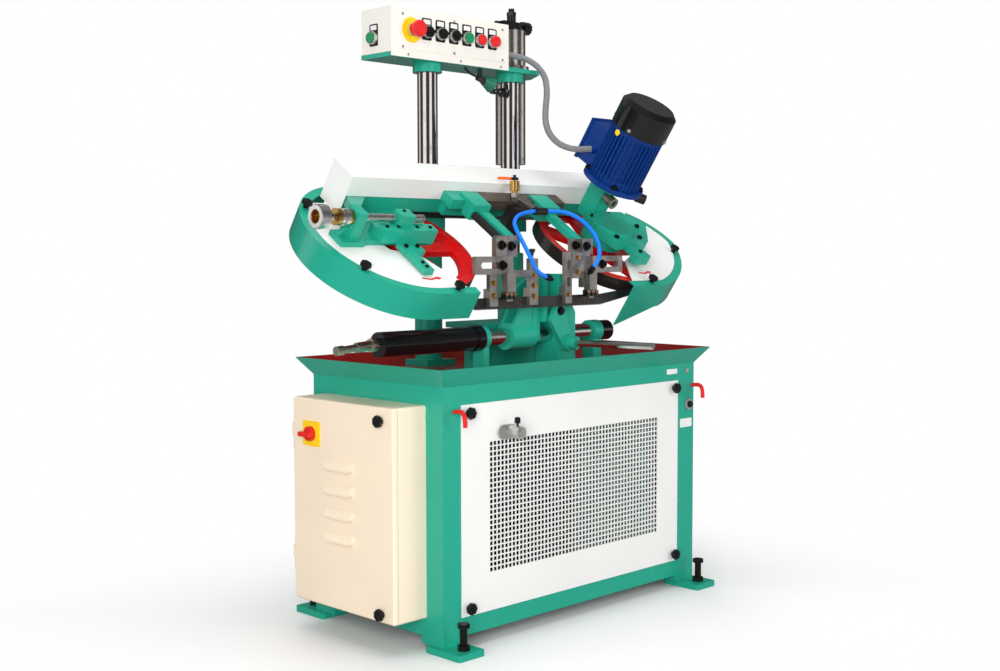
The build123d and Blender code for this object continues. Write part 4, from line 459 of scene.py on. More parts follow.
def frame_paint(name, outside):
    """Green outside, and dark on the faces that look into the frame: painted shade, blotched a little."""
    past_panel, panel_gap, back = 20 * MM, 1 * MM, 180 * MM
    foot, middle, top = 50 * MM, 300 * MM, 560 * MM
    finish = enamel(name, outside)
    place = finish.place()
    x, y, z = (finish.part_of(place, axis) for axis in "XYZ")
    _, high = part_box("front_panel")
    length = abs(x) < high[0] + past_panel
    depth = y.between(high[1] + panel_gap, back)
    height = z.between(foot, top)
    outward = finish.minus(place, (0, 0, middle))
    normal = finish.node("ShaderNodeNewGeometry", output="True Normal")
    inside = length * depth * height * (finish.dot(outward, normal) < 0)
    blotches = finish.noise(place, scale=14, detail=5, roughness=0.6)
    # painted shade: the inward faces get a blotchy near-black in place of the green
    return finish.repaint(inside, finish.toned(FRAME_INSIDE_SHADE, 0.6 + blotches * 0.8), roughness=0.6)


def lever_paint(name, grip, stem):
    """Dipped grip on a dark steel handle; the dip ends a little short of the pivot."""
    bare_end = 30 * MM
    finish = moulded(name, grip, roughness=0.36)
    place = finish.place()
    tone = 0.9 + finish.noise(place, scale=40, detail=3) * 0.2
    near_pivot = finish.part_of(place, "X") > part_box("coolant_lever")[1][0] - bare_end
    colour = finish.mixed(near_pivot, finish.toned(grip, tone), finish.toned(stem, tone))
    return finish.set(Base_Color=colour)


def guide_steel(name, colours, arm_u):
    """Steel guide on a green arm and clamp; a stay bar beside the arm and a small knob are black."""
    arm_foot, arm_half, arm_n = 105.5, 13.6, (47.5, 62.6)
    clamp_foot, stay_foot, stay_offset, stay_half = 229.5, 129.5, 25, 10
    knob_foot, knob_x, knob_half = 844 * MM, -94 * MM, 8 * MM
    finish = ground_steel(name, colours.steel)
    place = finish.place()
    u, v, n = finish.on_bow()
    rust = finish.step(finish.noise(place, scale=60, detail=5, roughness=0.7), low=0.55, high=0.72)
    finish.repaint(rust * 0.55, RUST, roughness=0.6, metallic=0.3)
    tone = 0.93 + finish.noise(place, scale=20, detail=3) * 0.14
    green, black = (finish.toned(colour, tone) for colour in (colours.green, STAY_BLACK))
    arm = (v > arm_foot) * (abs(u - arm_u) < arm_half) * n.between(*arm_n)
    finish.repaint(arm, green)
    finish.repaint(v > clamp_foot, green)
    stay = v.between(stay_foot, clamp_foot) * (abs(u - arm_u + stay_offset) < stay_half)
    finish.repaint(stay, black, roughness=0.3)
    beside = abs(finish.part_of(place, "X") - knob_x) < knob_half
    knob = (finish.part_of(place, "Z") > knob_foot) * beside
    return finish.repaint(knob, black, roughness=0.3)


def beam_paint(name, colours):
    """Cast green with the bare guide bar along its front."""
    bar_u, bar_v, bar_n = (-118, 170.5), (261.5, 302.2), (44.6, 70.6)
    finish = cast_enamel(name, colours.green)
    u, v, n = finish.on_bow()
    marks = finish.noise(finish.stretched(finish.place(), (8, 300, 300)), scale=1, detail=4, roughness=0.6)
    bar = u.between(*bar_u) * v.between(*bar_v) * n.between(*bar_n)
    return finish.repaint(bar, finish.toned(BARE_BAR, 0.6 + marks * 0.8), roughness=0.42, metallic=0.6)


def gearbox_paint(name, colours):
    """Cast green with a bare socket under the motor flange and a dark plug beside it."""
    socket_u, socket_half, socket_top, socket_n = 289, 16, 249.8, (86, 118)
    plug_u, plug_n = 324.2, (110, 138)
    finish = cast_enamel(name, colours.green)
    u, v, n = finish.on_bow()
    marks = finish.noise(finish.place(), scale=90, detail=4, roughness=0.6)
    socket = (v < socket_top) * (abs(u - socket_u) < socket_half) * n.between(*socket_n)
    finish.repaint(socket, finish.toned(BARE_SOCKET, 0.7 + marks * 0.6), roughness=0.25, metallic=0.9)
    plug = (u > plug_u) * n.between(*plug_n)
    return finish.repaint(plug, finish.toned(OILY_PLUG, 0.6 + marks * 0.9), roughness=0.3, metallic=0.6)


def wheel_paint(name, colours, centre):
    """Red wheel whose running face is black with oil and steel dust; the back is dulled and darkened with
    painted shade.
    """
    rim, back = 171, -41
    finish = enamel(name, colours.red, roughness=0.22, peel=0.3, coat=0.35)
    u, v, n = finish.on_bow()
    across, up = u - centre, v - WHEEL_V
    radius = (across * across + up * up).root()
    mottle = finish.noise(finish.place(), scale=70, detail=4, roughness=0.6)
    finish.repaint(radius > rim, finish.toned(RIM_GRIME, 0.6 + mottle * 0.8), roughness=0.4)
    # painted shade: the back of the wheel is made dark red, mottled by the same noise as the running face
    return finish.repaint((n < back) * 0.8, finish.toned(PAINTED_WHEEL_SHADE, 0.7 + mottle * 0.6), roughness=0.5)


def manifold_paint(name, colours):
    """Brass valve, steel bend, black tee and black block."""
    bend_top, cap_foot = 994, 1025
    tee_start, tee_half = 11.5, 10
    block_v, block_n, block_u = (237.5, 262.3), 62.3, 6.5
    finish = polished(name, colours.brass, roughness=0.22, grain=(40, 40, 40), darkening=0.35)
    place = finish.place()
    u, v, n = finish.on_bow()
    marks = finish.noise(place, scale=120, detail=4, roughness=0.6)
    height = finish.part_of(place, "Z") / MM
    steel = finish.toned(BEND_STEEL, 0.6 + marks * 0.8)
    finish.repaint(height < bend_top, steel, roughness=0.3, metallic=0.9)
    black = finish.toned(TEE_BLACK, 0.7 + marks * 0.6)
    tee = (abs(v - TEE_V) < tee_half) * (abs(n - TEE_N) < tee_half) * (u > tee_start)
    finish.repaint(tee, black, roughness=0.3)
    block = v.between(*block_v) * (n < block_n) * (u < block_u)
    finish.repaint(block, black, roughness=0.34)
    return finish.repaint(height > cap_foot, black, roughness=0.3)


def screw_steel(name, colours):
    """Turned screw; the first and the last disc of the spring stack are brass."""
    first_disc, last_disc = (-590.3, -579.2), (-557.2, -546.0)
    finish = polished(name, SCREW_STEEL, roughness=0.2, grain=(260, 3, 3))
    u = next(finish.on_bow())
    marks = finish.noise(finish.place(), scale=140, detail=4, roughness=0.6)
    disc = u.between(*first_disc) + u.between(*last_disc)
    return finish.repaint(disc, finish.toned(colours.brass, 0.5 + marks * 0.6), roughness=0.3, metallic=1.0)


def layered(name, under, over, axis, limit, metallic=1.0):
    """One paint up to a limit along an axis, in millimetres, and another finish beyond it."""
    finish = enamel(name, under, roughness=0.12, peel=0.3, coat=0.5)
    place = finish.place()
    marks = finish.noise(place, scale=120, detail=4, roughness=0.6)
    beyond = finish.part_of(place, axis) * (1 if limit > 0 else -1) > abs(limit) * MM
    return finish.repaint(beyond, finish.toned(over, 0.6 + marks * 0.7), roughness=0.25, metallic=metallic)


# where a layered finish changes
ROLLER_TOP_Z = 756
VISE_ROD_X = -484.5
LAMP_SHADE_X = 61


def make_finishes(colours):
    """Every finish of the machine by name."""
    return {
        "green": enamel("machine_green", colours.green),
        "frame": frame_paint("frame_green", colours.green),
        "cast_green": cast_enamel("cast_green", colours.green),
        "white": enamel("cover_white", colours.white, roughness=0.34, peel=0.18),
        "cream": enamel("cabinet_cream", colours.cream, roughness=0.4, peel=0.4, coat=0.05),
        "box_cream": enamel("box_cream", BOX_CREAM, roughness=0.36),
        "blue": cast_enamel("motor_blue", colours.blue),
        "black_paint": enamel("satin_black", SATIN_BLACK, roughness=0.16, peel=0.3, coat=0.4),
        "black": moulded("moulded_black", SATIN_BLACK),
        "gloss_black": moulded("gloss_black", SATIN_BLACK, roughness=0.12, grain=500, coat=0.5),
        "tray": tray_paint("tray_paint", colours.green, colours.tray_red),
        "chrome": polished("hard_chrome", CHROME, roughness=0.05, grain=(260, 260, 2)),
        "cylinder": polished(
            "cylinder_steel", CYLINDER_STEEL, roughness=0.22, grain=(300, 300, 2), darkening=0.45),
        "turned": polished("turned_steel", TURNED_STEEL, roughness=0.16, grain=(260, 3, 3)),
        "tension": screw_steel("tension_steel", colours),
        "left_steel": guide_steel("left_guide_steel", colours, LEFT_ARM_U),
        "right_steel": guide_steel("right_guide_steel", colours, RIGHT_ARM_U),
        "beam": beam_paint("beam_green", colours),
        "gearbox": gearbox_paint("gearbox_green", colours),
        "idler_red": wheel_paint("idler_red", colours, IDLER_U),
        "drive_red": wheel_paint("drive_red", colours, DRIVE_U),
        "manifold": manifold_paint("manifold_metals", colours),
        "roller": layered("roller_metals", SATIN_BLACK, ROLLER_BRONZE, "Z", ROLLER_TOP_Z),
        "vise_black": layered("vise_black", SATIN_BLACK, ROD_STEEL, "X", VISE_ROD_X),
        "lamp": layered("lamp_metals", LAMP_BLACK, LAMP_GREEN, "X", LAMP_SHADE_X, metallic=0.0),
        "band": ground_steel("band_steel", BAND_STEEL, grain=(30, 700, 700)),
        "bolt": ground_steel("blackened_bolt", BLACKENED_STEEL, grain=(90, 90, 90)),
        "zinc": ground_steel("zinc_plate", ZINC, grain=(200, 200, 200), patch=0.2),
        "brass": polished("cast_brass", colours.brass, roughness=0.24, grain=(40, 40, 40), darkening=0.35),
        "hose": moulded("hose_blue", colours.hose, roughness=0.3, grain=300, coat=0.2),
        "cable": moulded("cable_black", SATIN_BLACK, roughness=0.45, grain=300),
        "conduit": moulded("conduit_grey", colours.grey, roughness=0.4, grain=300),
        "orange": lever_paint("lever_grip", colours.orange, SATIN_BLACK),
        "yellow": moulded("switch_yellow", colours.yellow, roughness=0.38),
        "cap_red": moulded("cap_red", colours.button_red, roughness=0.28, grain=500, coat=0.3),
        "cap_green": moulded("cap_green", colours.button_green, roughness=0.3, grain=500, coat=0.2),
        "label": moulded("label_black", SATIN_BLACK, roughness=0.3, grain=700),
        "window": moulded("label_window", WINDOW_WHITE, roughness=0.35, grain=700),
        "arrow": moulded("arrow_red", ARROW_RED, grain=600, roughness=0.4),
    }


NODE_FINISH = {
    "green": "top_plate left_guard right_guard slide_block column_sockets",
    "frame": "base_frame",
    "cast_green": "moving_jaw fixed_jaw vise_brackets",
    "gearbox": "gearbox",
    "beam": "bow_beam",
    "white": "hood guard_panels front_panel",
    "cream": "cabinet cabinet_door",
    "box_cream": "control_box",
    "idler_red": "idler_wheel",
    "drive_red": "drive_wheel",
    "blue": "motor",
    "black_paint": "hydraulic_unit lift_valve",
    "vise_black": "vise_cylinder",
    "gloss_black": "fan_cover flow_knob",
    "black": "panel_knobs door_knobs guard_knobs panel_valve_lever selector_1 selector_2 selector_3"
             " coolant_nozzles",
    "tray": "tray",
    "chrome": "columns lift_rod",
    "cylinder": "lift_cylinder",
    "turned": "vise_shaft stop_rod",
    "tension": "tension_screw",
    "left_steel": "left_guide",
    "right_steel": "right_guide",
    "zinc": "panel_valve control_bezels",
    "bolt": "levelling_bolts",
    "roller": "left_guide_roller right_guide_roller",
    "band": "saw_band",
    "manifold": "coolant_manifold",
    "orange": "coolant_lever",
    "cap_red": "estop_button stop_button isolator_handle",
    "cap_green": "start_button side_button",
    "lamp": "work_lamp",
    "hose": "coolant_hose_left coolant_hose_right",
    "cable": "lamp_cord",
    "conduit": "conduit",
}
finishes = {}


def finish_of(name):
    return finishes[name].material


def round_ring(angle):
    return 1.0


def hexagon(angle):
    """Share of the corner radius that a hexagon keeps at an angle."""
    part = pi / 3
    return cos(part / 2) / cos(angle % part - part / 2)


def lobed(angle, lobes=7, depth=0.13):
    """Outline of a hand knob with scalloped edges."""
    return 1 - depth * (0.5 - 0.5 * cos(lobes * angle)) ** 2


class Shape:
    """Collects the faces of one piece, in millimetres."""

    def __init__(self):
        self.points = []
        self.faces = []

    def skin(self, start, rings, sides):
        """Faces between rings of points that begin at start, with both ends closed."""
        for ring in range(rings - 1):
            a, b = start + ring * sides, start + (ring + 1) * sides
            for i in range(sides):
                j = (i + 1) % sides
                self.faces.append((a + i, a + j, b + j, b + i))
        self.faces.append(tuple(start + i for i in reversed(range(sides))))
        self.faces.append(tuple(start + (rings - 1) * sides + i for i in range(sides)))
        return self

    def turn(self, place, profile, sides=24):
        """Rings of (radius, height, outline) joined into a closed turned form."""
        start = len(self.points)
        for radius, height, *outline in profile:
            share = outline[0] if outline else round_ring
            for i in range(sides):
                a = 2 * pi * i / sides
                r = radius * share(a)
                self.points.append(place @ Vector((r * cos(a), r * sin(a), height)))
        return self.skin(start, len(profile), sides)

    def slab(self, place, outline, low, high):
        """An outline in the placement's X and Y, raised from low to high."""
        start = len(self.points)
        for height in (low, high):
            self.points += [place @ Vector((x, y, height)) for x, y in outline]
        return self.skin(start, 2, len(outline))

    def tube(self, points, radii, sides=14):
        """A round tube through points, with a radius at each."""
        start = len(self.points)
        side = (points[1] - points[0]).orthogonal().normalized()
        for i, spot in enumerate(points):
            ahead = (points[min(i + 1, len(points) - 1)] - points[max(i - 1, 0)]).normalized()
            side = (side - ahead * side.dot(ahead)).normalized()
            other = ahead.cross(side)
            for k in range(sides):
                a = 2 * pi * k / sides
                self.points.append(spot + (side * cos(a) + other * sin(a)) * radii[i])
        return self.skin(start, len(points), sides)

    def screw(self, place, radius, height):
        """Socket-headed screw: chamfered round head with a hexagonal socket."""
        edge, key, floor = radius * 0.14, radius * 0.55, height * 0.35
        return self.turn(place, [
            (radius, 0), (radius, height - edge), (radius - edge, height),
            (key, height, hexagon), (key, floor, hexagon)])

    def hex_bolt(self, place, radius, height, washer=1.6):
        """Hexagon head on a washer, with chamfered corners."""
        rim, shoulder, crown = radius * 1.35, washer + height * 0.85, radius * 0.82
        self.turn(place, [(rim, 0), (rim, washer)])
        return self.turn(place, [
            (radius, washer, hexagon), (radius, shoulder, hexagon), (crown, washer + height)])

    def make(self, name, body, finish, slot, bevel=0.0, smooth=32):
        """The finished piece, riding on its body."""
        mesh = bpy.data.meshes.new(name)
        mesh.from_pydata([p * MM for p in self.points], [], self.faces)
        mesh.validate()
        if smooth:
            mesh.shade_smooth()
            mesh.set_sharp_from_angle(angle=radians(smooth))
        mesh.materials.append(finish_of(finish))
        piece = bpy.data.objects.new(name, mesh)
        bpy.context.scene.collection.objects.link(piece)
        if bevel:
            rounding = piece.modifiers.new("rounded edges", "BEVEL")
            rounding.width = bevel * MM
            rounding.segments = 2
            rounding.limit_method = "ANGLE"
        if body:
            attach(piece, body)
        return piece


def box_outline(width, height, radius=0.0, steps=4):
    """Corners of a centred rectangle, rounded where a radius is given."""
    corners = [(1, 1, 0), (-1, 1, 90), (-1, -1, 180), (1, -1, 270)]
    if not radius:
        return [(sx * width / 2, sy * height / 2) for sx, sy, _ in corners]
    outline = []
    for sx, sy, first in corners:
        for k in range(steps + 1):
            a = radians(first + 90 * k / steps)
            x = sx * (width / 2 - radius) + radius * cos(a)
            y = sy * (height / 2 - radius) + radius * sin(a)
            outline.append((x, y))
    return outline


def route_curve(name, points, radius, finish):
    """A smooth line that follows the route of a hose, a cable or a hook."""
    curve = bpy.data.curves.new(name, "CURVE")
    curve.dimensions = "3D"
    curve.resolution_u = 10
    spline = curve.splines.new("NURBS")
    spline.points.add(len(points) - 1)
    for spot, point in zip(spline.points, points):
        spot.co = (*(Vector(point) * MM), 1)
    spline.order_u = 3
    spline.use_endpoint_u = True
    curve.bevel_depth = radius * MM
    curve.bevel_resolution = 4
    curve.use_fill_caps = True
    curve.materials.append(finish_of(finish))
    line = bpy.data.objects.new(name, curve)
    bpy.context.scene.collection.objects.link(line)
    return line


def points_along(points):
    """Spots read from the smooth line of a route, in millimetres."""
    guide = route_curve("route_guide", points, 0, "conduit")
    mesh = bpy.data.meshes.new_from_object(guide.evaluated_get(bpy.context.evaluated_depsgraph_get()))
    spots = [v.co / MM for v in mesh.vertices]
    data = guide.data
    bpy.data.objects.remove(guide)
    bpy.data.curves.remove(data)
    bpy.data.meshes.remove(mesh)
    return spots


def length_of(spots):
    return sum((b - a).length for a, b in zip(spots, spots[1:]))


def spaced(spots, step):
    """Spots at even steps along a line."""
    total = length_of(spots)
    count = max(2, ceil(total / step))
    result, run, i = [spots[0]], 0.0, 0
    for k in range(1, count):
        want = total * k / count
        while run + (spots[i + 1] - spots[i]).length < want:
            run += (spots[i + 1] - spots[i]).length
            i += 1
        part = (want - run) / (spots[i + 1] - spots[i]).length
        result.append(spots[i].lerp(spots[i + 1], part))
    return result + [spots[-1]]


# control points of the routes, and the radius of what follows each
CONDUIT_ROUTE = [
    (138, 172, 1357), (172, 170, 1359), (205, 158, 1355), (228, 135, 1337), (235, 112, 1307), (227, 97, 1275),
    (211, 83, 1245), (191, 69, 1212), (172, 51, 1178), (162, 27, 1145), (168, -4, 1118), (192, -36, 1106),
    (225, -55, 1110),
]
CONDUIT_RADIUS = 8
LAMP_CORD_ROUTE = [(44, 165, 1292), (30, 166, 1295), (16, 168, 1300), (5, 171, 1312)]
LAMP_CORD_RADIUS = 2.5
LEFT_HOSE_ROUTE = [
    tuple(bow(12, TEE_V, TEE_N)), (-32, -69, 945), (-72, -84, 935), (-104, -107, 917), (-122, -138, 896),
    (-129, -165, 868), (-130, -184, 842), (-123, -192, 817), (-107, -194, 802), (-87, -194, 796),
]
RIGHT_HOSE_ROUTE = [
    tuple(bow(52, TEE_V, TEE_N)), (84, -72, 952), (106, -94, 945), (119, -122, 928), (124, -150, 902),
    (119, -173, 874), (109, -186, 848), (95, -191, 828), (77, -192, 814),
]
HOSE_RADIUS = 5
# how far the conduit's wall lies below its radius, over one rib
RIB_DEPTHS = (0.0, 0.35, 0.9, 0.35)


class SAW_OT_finishes(bpy.types.Operator):
    """Give every piece of the frame its finish"""

    bl_idname = "saw.finishes"
    bl_label = "Finishes"

    def execute(self, context):
        finishes.update(make_finishes(context.scene.saw_colours))
        for finish, names in NODE_FINISH.items():
            for name in names.split():
                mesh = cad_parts[name].data
                mesh.materials.clear()
                mesh.materials.append(finish_of(finish))
        return {"FINISHED"}


class SAW_OT_conduit(bpy.types.Operator):
    """Ribbed conduit from the control box to the motor"""

    bl_idname = "saw.conduit"
    bl_label = "Conduit"

    def execute(self, context):
        step = context.scene.saw_sizes.rib_pitch / len(RIB_DEPTHS)
        spots = spaced(points_along(CONDUIT_ROUTE), step)
        radii = [CONDUIT_RADIUS - RIB_DEPTHS[i % len(RIB_DEPTHS)] for i in range(len(spots))]
        conduit = Shape().tube(spots, radii, sides=18).make(
            "ribbed_conduit", None, "conduit", "grey_conduit", smooth=60)
        spots[0] * MM
        spots[-1] * MM
        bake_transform(conduit)
        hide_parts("conduit")
        spots[0] * MM
        length_of(spots) * MM
        [p * MM for p in spots]
        return {"FINISHED"}


class SAW_OT_hoses(bpy.types.Operator):
    """Blue coolant hoses and the lamp's cable"""

    bl_idname = "saw.hoses"
    bl_label = "Hoses"

    def execute(self, context):
        for name, node, route, radius, finish, body, slot in (
            ("left_hose", "coolant_hose_left", LEFT_HOSE_ROUTE, HOSE_RADIUS, "hose", "bow", "blue_hose"),
            ("right_hose", "coolant_hose_right", RIGHT_HOSE_ROUTE, HOSE_RADIUS, "hose", "bow", "blue_hose"),
            ("lamp_cable", "lamp_cord", LAMP_CORD_ROUTE, LAMP_CORD_RADIUS, "cable", "base", "black_cord"),
        ):
            spots = points_along(route)
            line = route_curve(name, route, radius, finish)
            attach(line, body)
            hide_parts(node)
            length_of(spots) * MM
            2 * radius * MM
        return {"FINISHED"}


class SAW_OT_grille(bpy.types.Operator):
    """Front panel with its field of square holes"""

    bl_idname = "saw.grille"
    bl_label = "Front grille"

    def execute(self, context):
        sizes = context.scene.saw_sizes
        low, high = (Vector(c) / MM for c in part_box("front_panel"))
        field_x, field_z = (-300, 285), (155, 444)
        columns = self.lines(low.x, high.x, field_x, sizes.hole_columns, sizes.hole_width)
        rows = self.lines(low.z, high.z, field_z, sizes.hole_rows, sizes.hole_height)
        shape = Shape()
        shape.points = [Vector((x, low.y, z)) for z in rows for x in columns]
        wide = len(columns)
        for j in range(len(rows) - 1):
            for i in range(wide - 1):
                if i % 2 and j % 2:
                    continue
                a = j * wide + i
                shape.faces.append((a, a + 1, a + wide + 1, a + wide))
        grille = shape.make("front_grille", "base", "white", "white_paint", smooth=0)
        sheet = grille.modifiers.new("sheet", "SOLIDIFY")
        sheet.thickness = (high.y - low.y) * MM
        sheet.offset = -1
        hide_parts("front_panel")
        return {"FINISHED"}

    @staticmethod
    def lines(low, high, field, count, share):
        """Grid lines across the panel: both edges of the sheet and of each hole."""
        pitch = (field[1] - field[0]) / count
        result = [low]
        for k in range(count):
            middle = field[0] + pitch * (k + 0.5)
            result += [middle - pitch * share / 2, middle + pitch * share / 2]
        return result + [high]


# the band on its wheels, where it twists, and its upright run along the cut; a tooth's tip
# leans forward by a share of the pitch
BAND_RADIUS, BAND_N, BAND_HALF, BAND_HALF_THICKNESS = 172.8, -38, 13.5, 0.5
TWIST_FROM_U, TWIST_TO_U = 260, -330
UPRIGHT_X, CUT_Y, CUT_Z = (150, -270), -150, 737
WHEEL_STEPS = 48
TOOTH_LEAN = 0.72


class SAW_OT_toothed_band(bpy.types.Operator):
    """Saw band with its teeth, twisted upright between the guides"""

    bl_idname = "saw.toothed_band"
    bl_label = "Saw band"

    def execute(self, context):
        sizes = context.scene.saw_sizes
        corners = self.stations()
        low = [c[0] for c in corners]
        high = [c[1] for c in corners]
        middle = [(a + b) / 2 for a, b in corners]
        total = length_of(middle + middle[:1])
        teeth = round(total / sizes.tooth_pitch)
        count = 2 * teeth
        shape = Shape()
        for k in range(count):
            tip = k % 2
            want = total * (k // 2 + (TOOTH_LEAN if tip else 0.0)) / teeth
            bottom, top, ahead = self.at(middle, low, high, want)
            rise = (top - bottom).normalized()
            foot = bottom if tip else bottom + rise * sizes.tooth_depth
            side = ahead.cross(rise).normalized() * BAND_HALF_THICKNESS
            shape.points += [foot - side, foot + side, top + side, top - side]
        for k in range(count):
            a, b = 4 * k, 4 * ((k + 1) % count)
            for i in range(4):
                j = (i + 1) % 4
                shape.faces.append((a + i, a + j, b + j, b + i))
        band = shape.make("toothed_band", "bow", "band", "steel", smooth=25)
        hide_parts("saw_band")
        return {"FINISHED"}

    @staticmethod
    def stations():
        """Lower and upper edge of the band, all the way round."""

        def on_wheels(u, v):
            return bow(u, v, BAND_N - BAND_HALF), bow(u, v, BAND_N + BAND_HALF)

        def round_wheel(centre, first):
            for k in range(WHEEL_STEPS + 1):
                a = radians(first - 180 * k / WHEEL_STEPS)
                yield on_wheels(centre + BAND_RADIUS * cos(a), WHEEL_V + BAND_RADIUS * sin(a))

        def upright(x):
            return Vector((x, CUT_Y, CUT_Z - BAND_HALF)), Vector((x, CUT_Y, CUT_Z + BAND_HALF))

        return [
            *round_wheel(DRIVE_U, 90),
            on_wheels(TWIST_FROM_U, WHEEL_V - BAND_RADIUS),
            *(upright(x) for x in UPRIGHT_X),
            on_wheels(TWIST_TO_U, WHEEL_V - BAND_RADIUS),
            *round_wheel(IDLER_U, 270),
        ]

    @staticmethod
    def at(middle, low, high, want):
        """Both edges at a distance round the loop, and the way the band runs there."""
        run = 0.0
        for i in range(len(middle)):
            j = (i + 1) % len(middle)
            step = (middle[j] - middle[i]).length
            if run + step >= want:
                part = (want - run) / step
                return low[i].lerp(low[j], part), high[i].lerp(high[j], part), middle[j] - middle[i]
            run += step
        return low[0], high[0], middle[1] - middle[0]


# share of a hand knob's radius and height, and the outline of that ring
KNOB_PROFILE = [
    (0.5, 0), (0.5, 0.32), (0.62, 0.4), (1.0, 0.46, lobed), (1.04, 0.7, lobed), (0.98, 0.93, lobed),
    (0.62, 1.0), (0.5, 0.93),
]
KNOB_INSERT = [(0.3, 0.93), (0.3, 0.97)]


def solids_of(mesh):
    """Corner points of each separate solid of a mesh, in millimetres."""
    spots = {}
    leader = {}

    def find(key):
        while leader[key] != key:
            leader[key] = leader[leader[key]]
            key = leader[key]
        return key

    keys = []
    for vertex in mesh.vertices:
        key = tuple(round(c, 5) for c in vertex.co)
        keys.append(key)
        leader.setdefault(key, key)
    for edge in mesh.edges:
        a, b = (find(keys[i]) for i in edge.vertices)
        leader[a] = b
    for key in leader:
        spots.setdefault(find(key), []).append(Vector(key) / MM)
    return list(spots.values())


class SAW_OT_hand_knobs(bpy.types.Operator):
    """Scalloped black knobs of the panels, the door and the guards"""

    bl_idname = "saw.hand_knobs"
    bl_label = "Hand knobs"

    def execute(self, context):
        for node, name, body in (
            ("panel_knobs", "front_knobs", "base"),
            ("door_knobs", "cabinet_knobs", "door"),
            ("guard_knobs", "cover_knobs", "bow"),
        ):
            shape = Shape()
            for place, radius, height in self.seats(node):
                for profile, sides in ((KNOB_PROFILE, 42), (KNOB_INSERT, 12)):
                    shape.turn(place, [(radius * r, height * h, *o) for r, h, *o in profile], sides)
            knobs = shape.make(name, body, "black", "black_plastic", smooth=50)
            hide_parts(node)
        return {"FINISHED"}

    @staticmethod
    def seats(node):
        """Where each knob of a node sits, read from its separate solids."""
        for points in solids_of(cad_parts[node].data):
            low = Vector(map(min, *points))
            high = Vector(map(max, *points))
            centre = (low + high) / 2
            if node == "panel_knobs":
                yield to_front(centre.x, high.y, centre.z), (high.x - low.x) / 2, high.y - low.y
            elif node == "door_knobs":
                yield to_left(high.x, centre.y, centre.z), (high.y - low.y) / 2, high.x - low.x
            else:
                heights = [(p - BOW_FOOT).dot(BOW_OUT) for p in points]
                base = centre + BOW_OUT * (min(heights) - (centre - BOW_FOOT).dot(BOW_OUT))
                yield facing(base, BOW_OUT, X_AXIS), (high.x - low.x) / 2, max(heights) - min(heights)


# devices on the control box and the plates that they sit on; a plate is a width, a height and
# the radius of its corners, and a turned piece is a list of radii and heights
FACE_Y = 138
FACE_PLATE_X, FACE_PLATE_Z, FACE_PLATE = -62, 1375, (356, 88, 3)
PLATE_THICKNESS = 1
DEVICE_Z = 1378
FIRST_DEVICE_X, DEVICE_PITCH, DEVICE_COUNT = -152, 44, 6
DEVICE_XS = [FIRST_DEVICE_X + DEVICE_PITCH * i for i in range(DEVICE_COUNT)]
ESTOP_X = -200
SIDE_BUTTON = (-262, 202, 1359)
LABEL_LIFT, LABEL = 7, (31, 52, 4)
WINDOW_LIFT, WINDOW, WINDOW_THICKNESS = 24, (22, 11, 1), 0.4
ESTOP_DISC = [(30, 0), (30, 1.6), (29.4, 2.2), (15, 2.2)]
PILOT_LENS = [(13.6, 9), (14, 12), (14, 17), (13, 20), (9, 22), (3, 22.8)]
FACE_SCREW_XS, FACE_SCREW_ZS = (-228, -62, 104), (1337, 1413)
LID_SCREW_XS, LID_SCREW_Z = (-210, -40, 100), 1320


class SAW_OT_control_face(bpy.types.Operator):
    """Face plate, blank label plates, emergency stop disc, pilot lens and screws of the control box"""

    bl_idname = "saw.control_face"
    bl_label = "Control box face"

    def execute(self, context):
        plate = to_front(FACE_PLATE_X, FACE_Y, FACE_PLATE_Z)
        plate_y = FACE_Y - PLATE_THICKNESS
        Shape().slab(plate, box_outline(*FACE_PLATE), 0, PLATE_THICKNESS).make(
            "face_plate", "base", "box_cream", "cream_paint", bevel=0.4)
        labels, windows = Shape(), Shape()
        for seat in [to_front(x, plate_y, DEVICE_Z) for x in DEVICE_XS] + [to_left(*SIDE_BUTTON)]:
            label = seat @ Matrix.Translation((0, LABEL_LIFT, 0))
            labels.slab(label, box_outline(*LABEL), 0, PLATE_THICKNESS)
            window = seat @ Matrix.Translation((0, WINDOW_LIFT, PLATE_THICKNESS))
            windows.slab(window, box_outline(*WINDOW), 0, WINDOW_THICKNESS)
        labels.make("label_plates", "base", "label", "black_plastic", bevel=0.3)
        windows.make("label_windows", "base", "window", "white_paint")
        disc = to_front(ESTOP_X, plate_y, DEVICE_Z)
        Shape().turn(disc, ESTOP_DISC, sides=48).make("estop_disc", "base", "yellow", "red_plastic")
        lens = to_front(DEVICE_XS[-1], FACE_Y, DEVICE_Z)
        Shape().turn(lens, PILOT_LENS, sides=32).make(
            "pilot_lens", "base", "cap_red", "red_plastic", smooth=60)
        screws = Shape()
        for x in FACE_SCREW_XS:
            for z in FACE_SCREW_ZS:
                screws.screw(to_front(x, plate_y, z), radius=3.2, height=1.8)
        for x in LID_SCREW_XS:
            screws.screw(to_front(x, FACE_Y, LID_SCREW_Z), radius=3, height=1.5)
        screws.make("face_screws", "base", "zinc", "steel")
        return {"FINISHED"}


# the isolator on the cabinet door
ISOLATOR = (-526, 109, 451)
ISOLATOR_PLATE, ISOLATOR_THICKNESS = (60, 56, 5), 3
ISOLATOR_RING = [(24, 3), (23, 3.3)]


class SAW_OT_isolator_plate(bpy.types.Operator):
    """Yellow plate behind the isolator handle"""

    bl_idname = "saw.isolator_plate"
    bl_label = "Isolator plate"

    def execute(self, context):
        seat = to_left(*ISOLATOR)
        shape = Shape().slab(seat, box_outline(*ISOLATOR_PLATE), 0, ISOLATOR_THICKNESS)
        shape.turn(seat, ISOLATOR_RING, sides=40)
        shape.make("isolator_plate", "door", "yellow", "red_plastic", bevel=0.6)
        return {"FINISHED"}


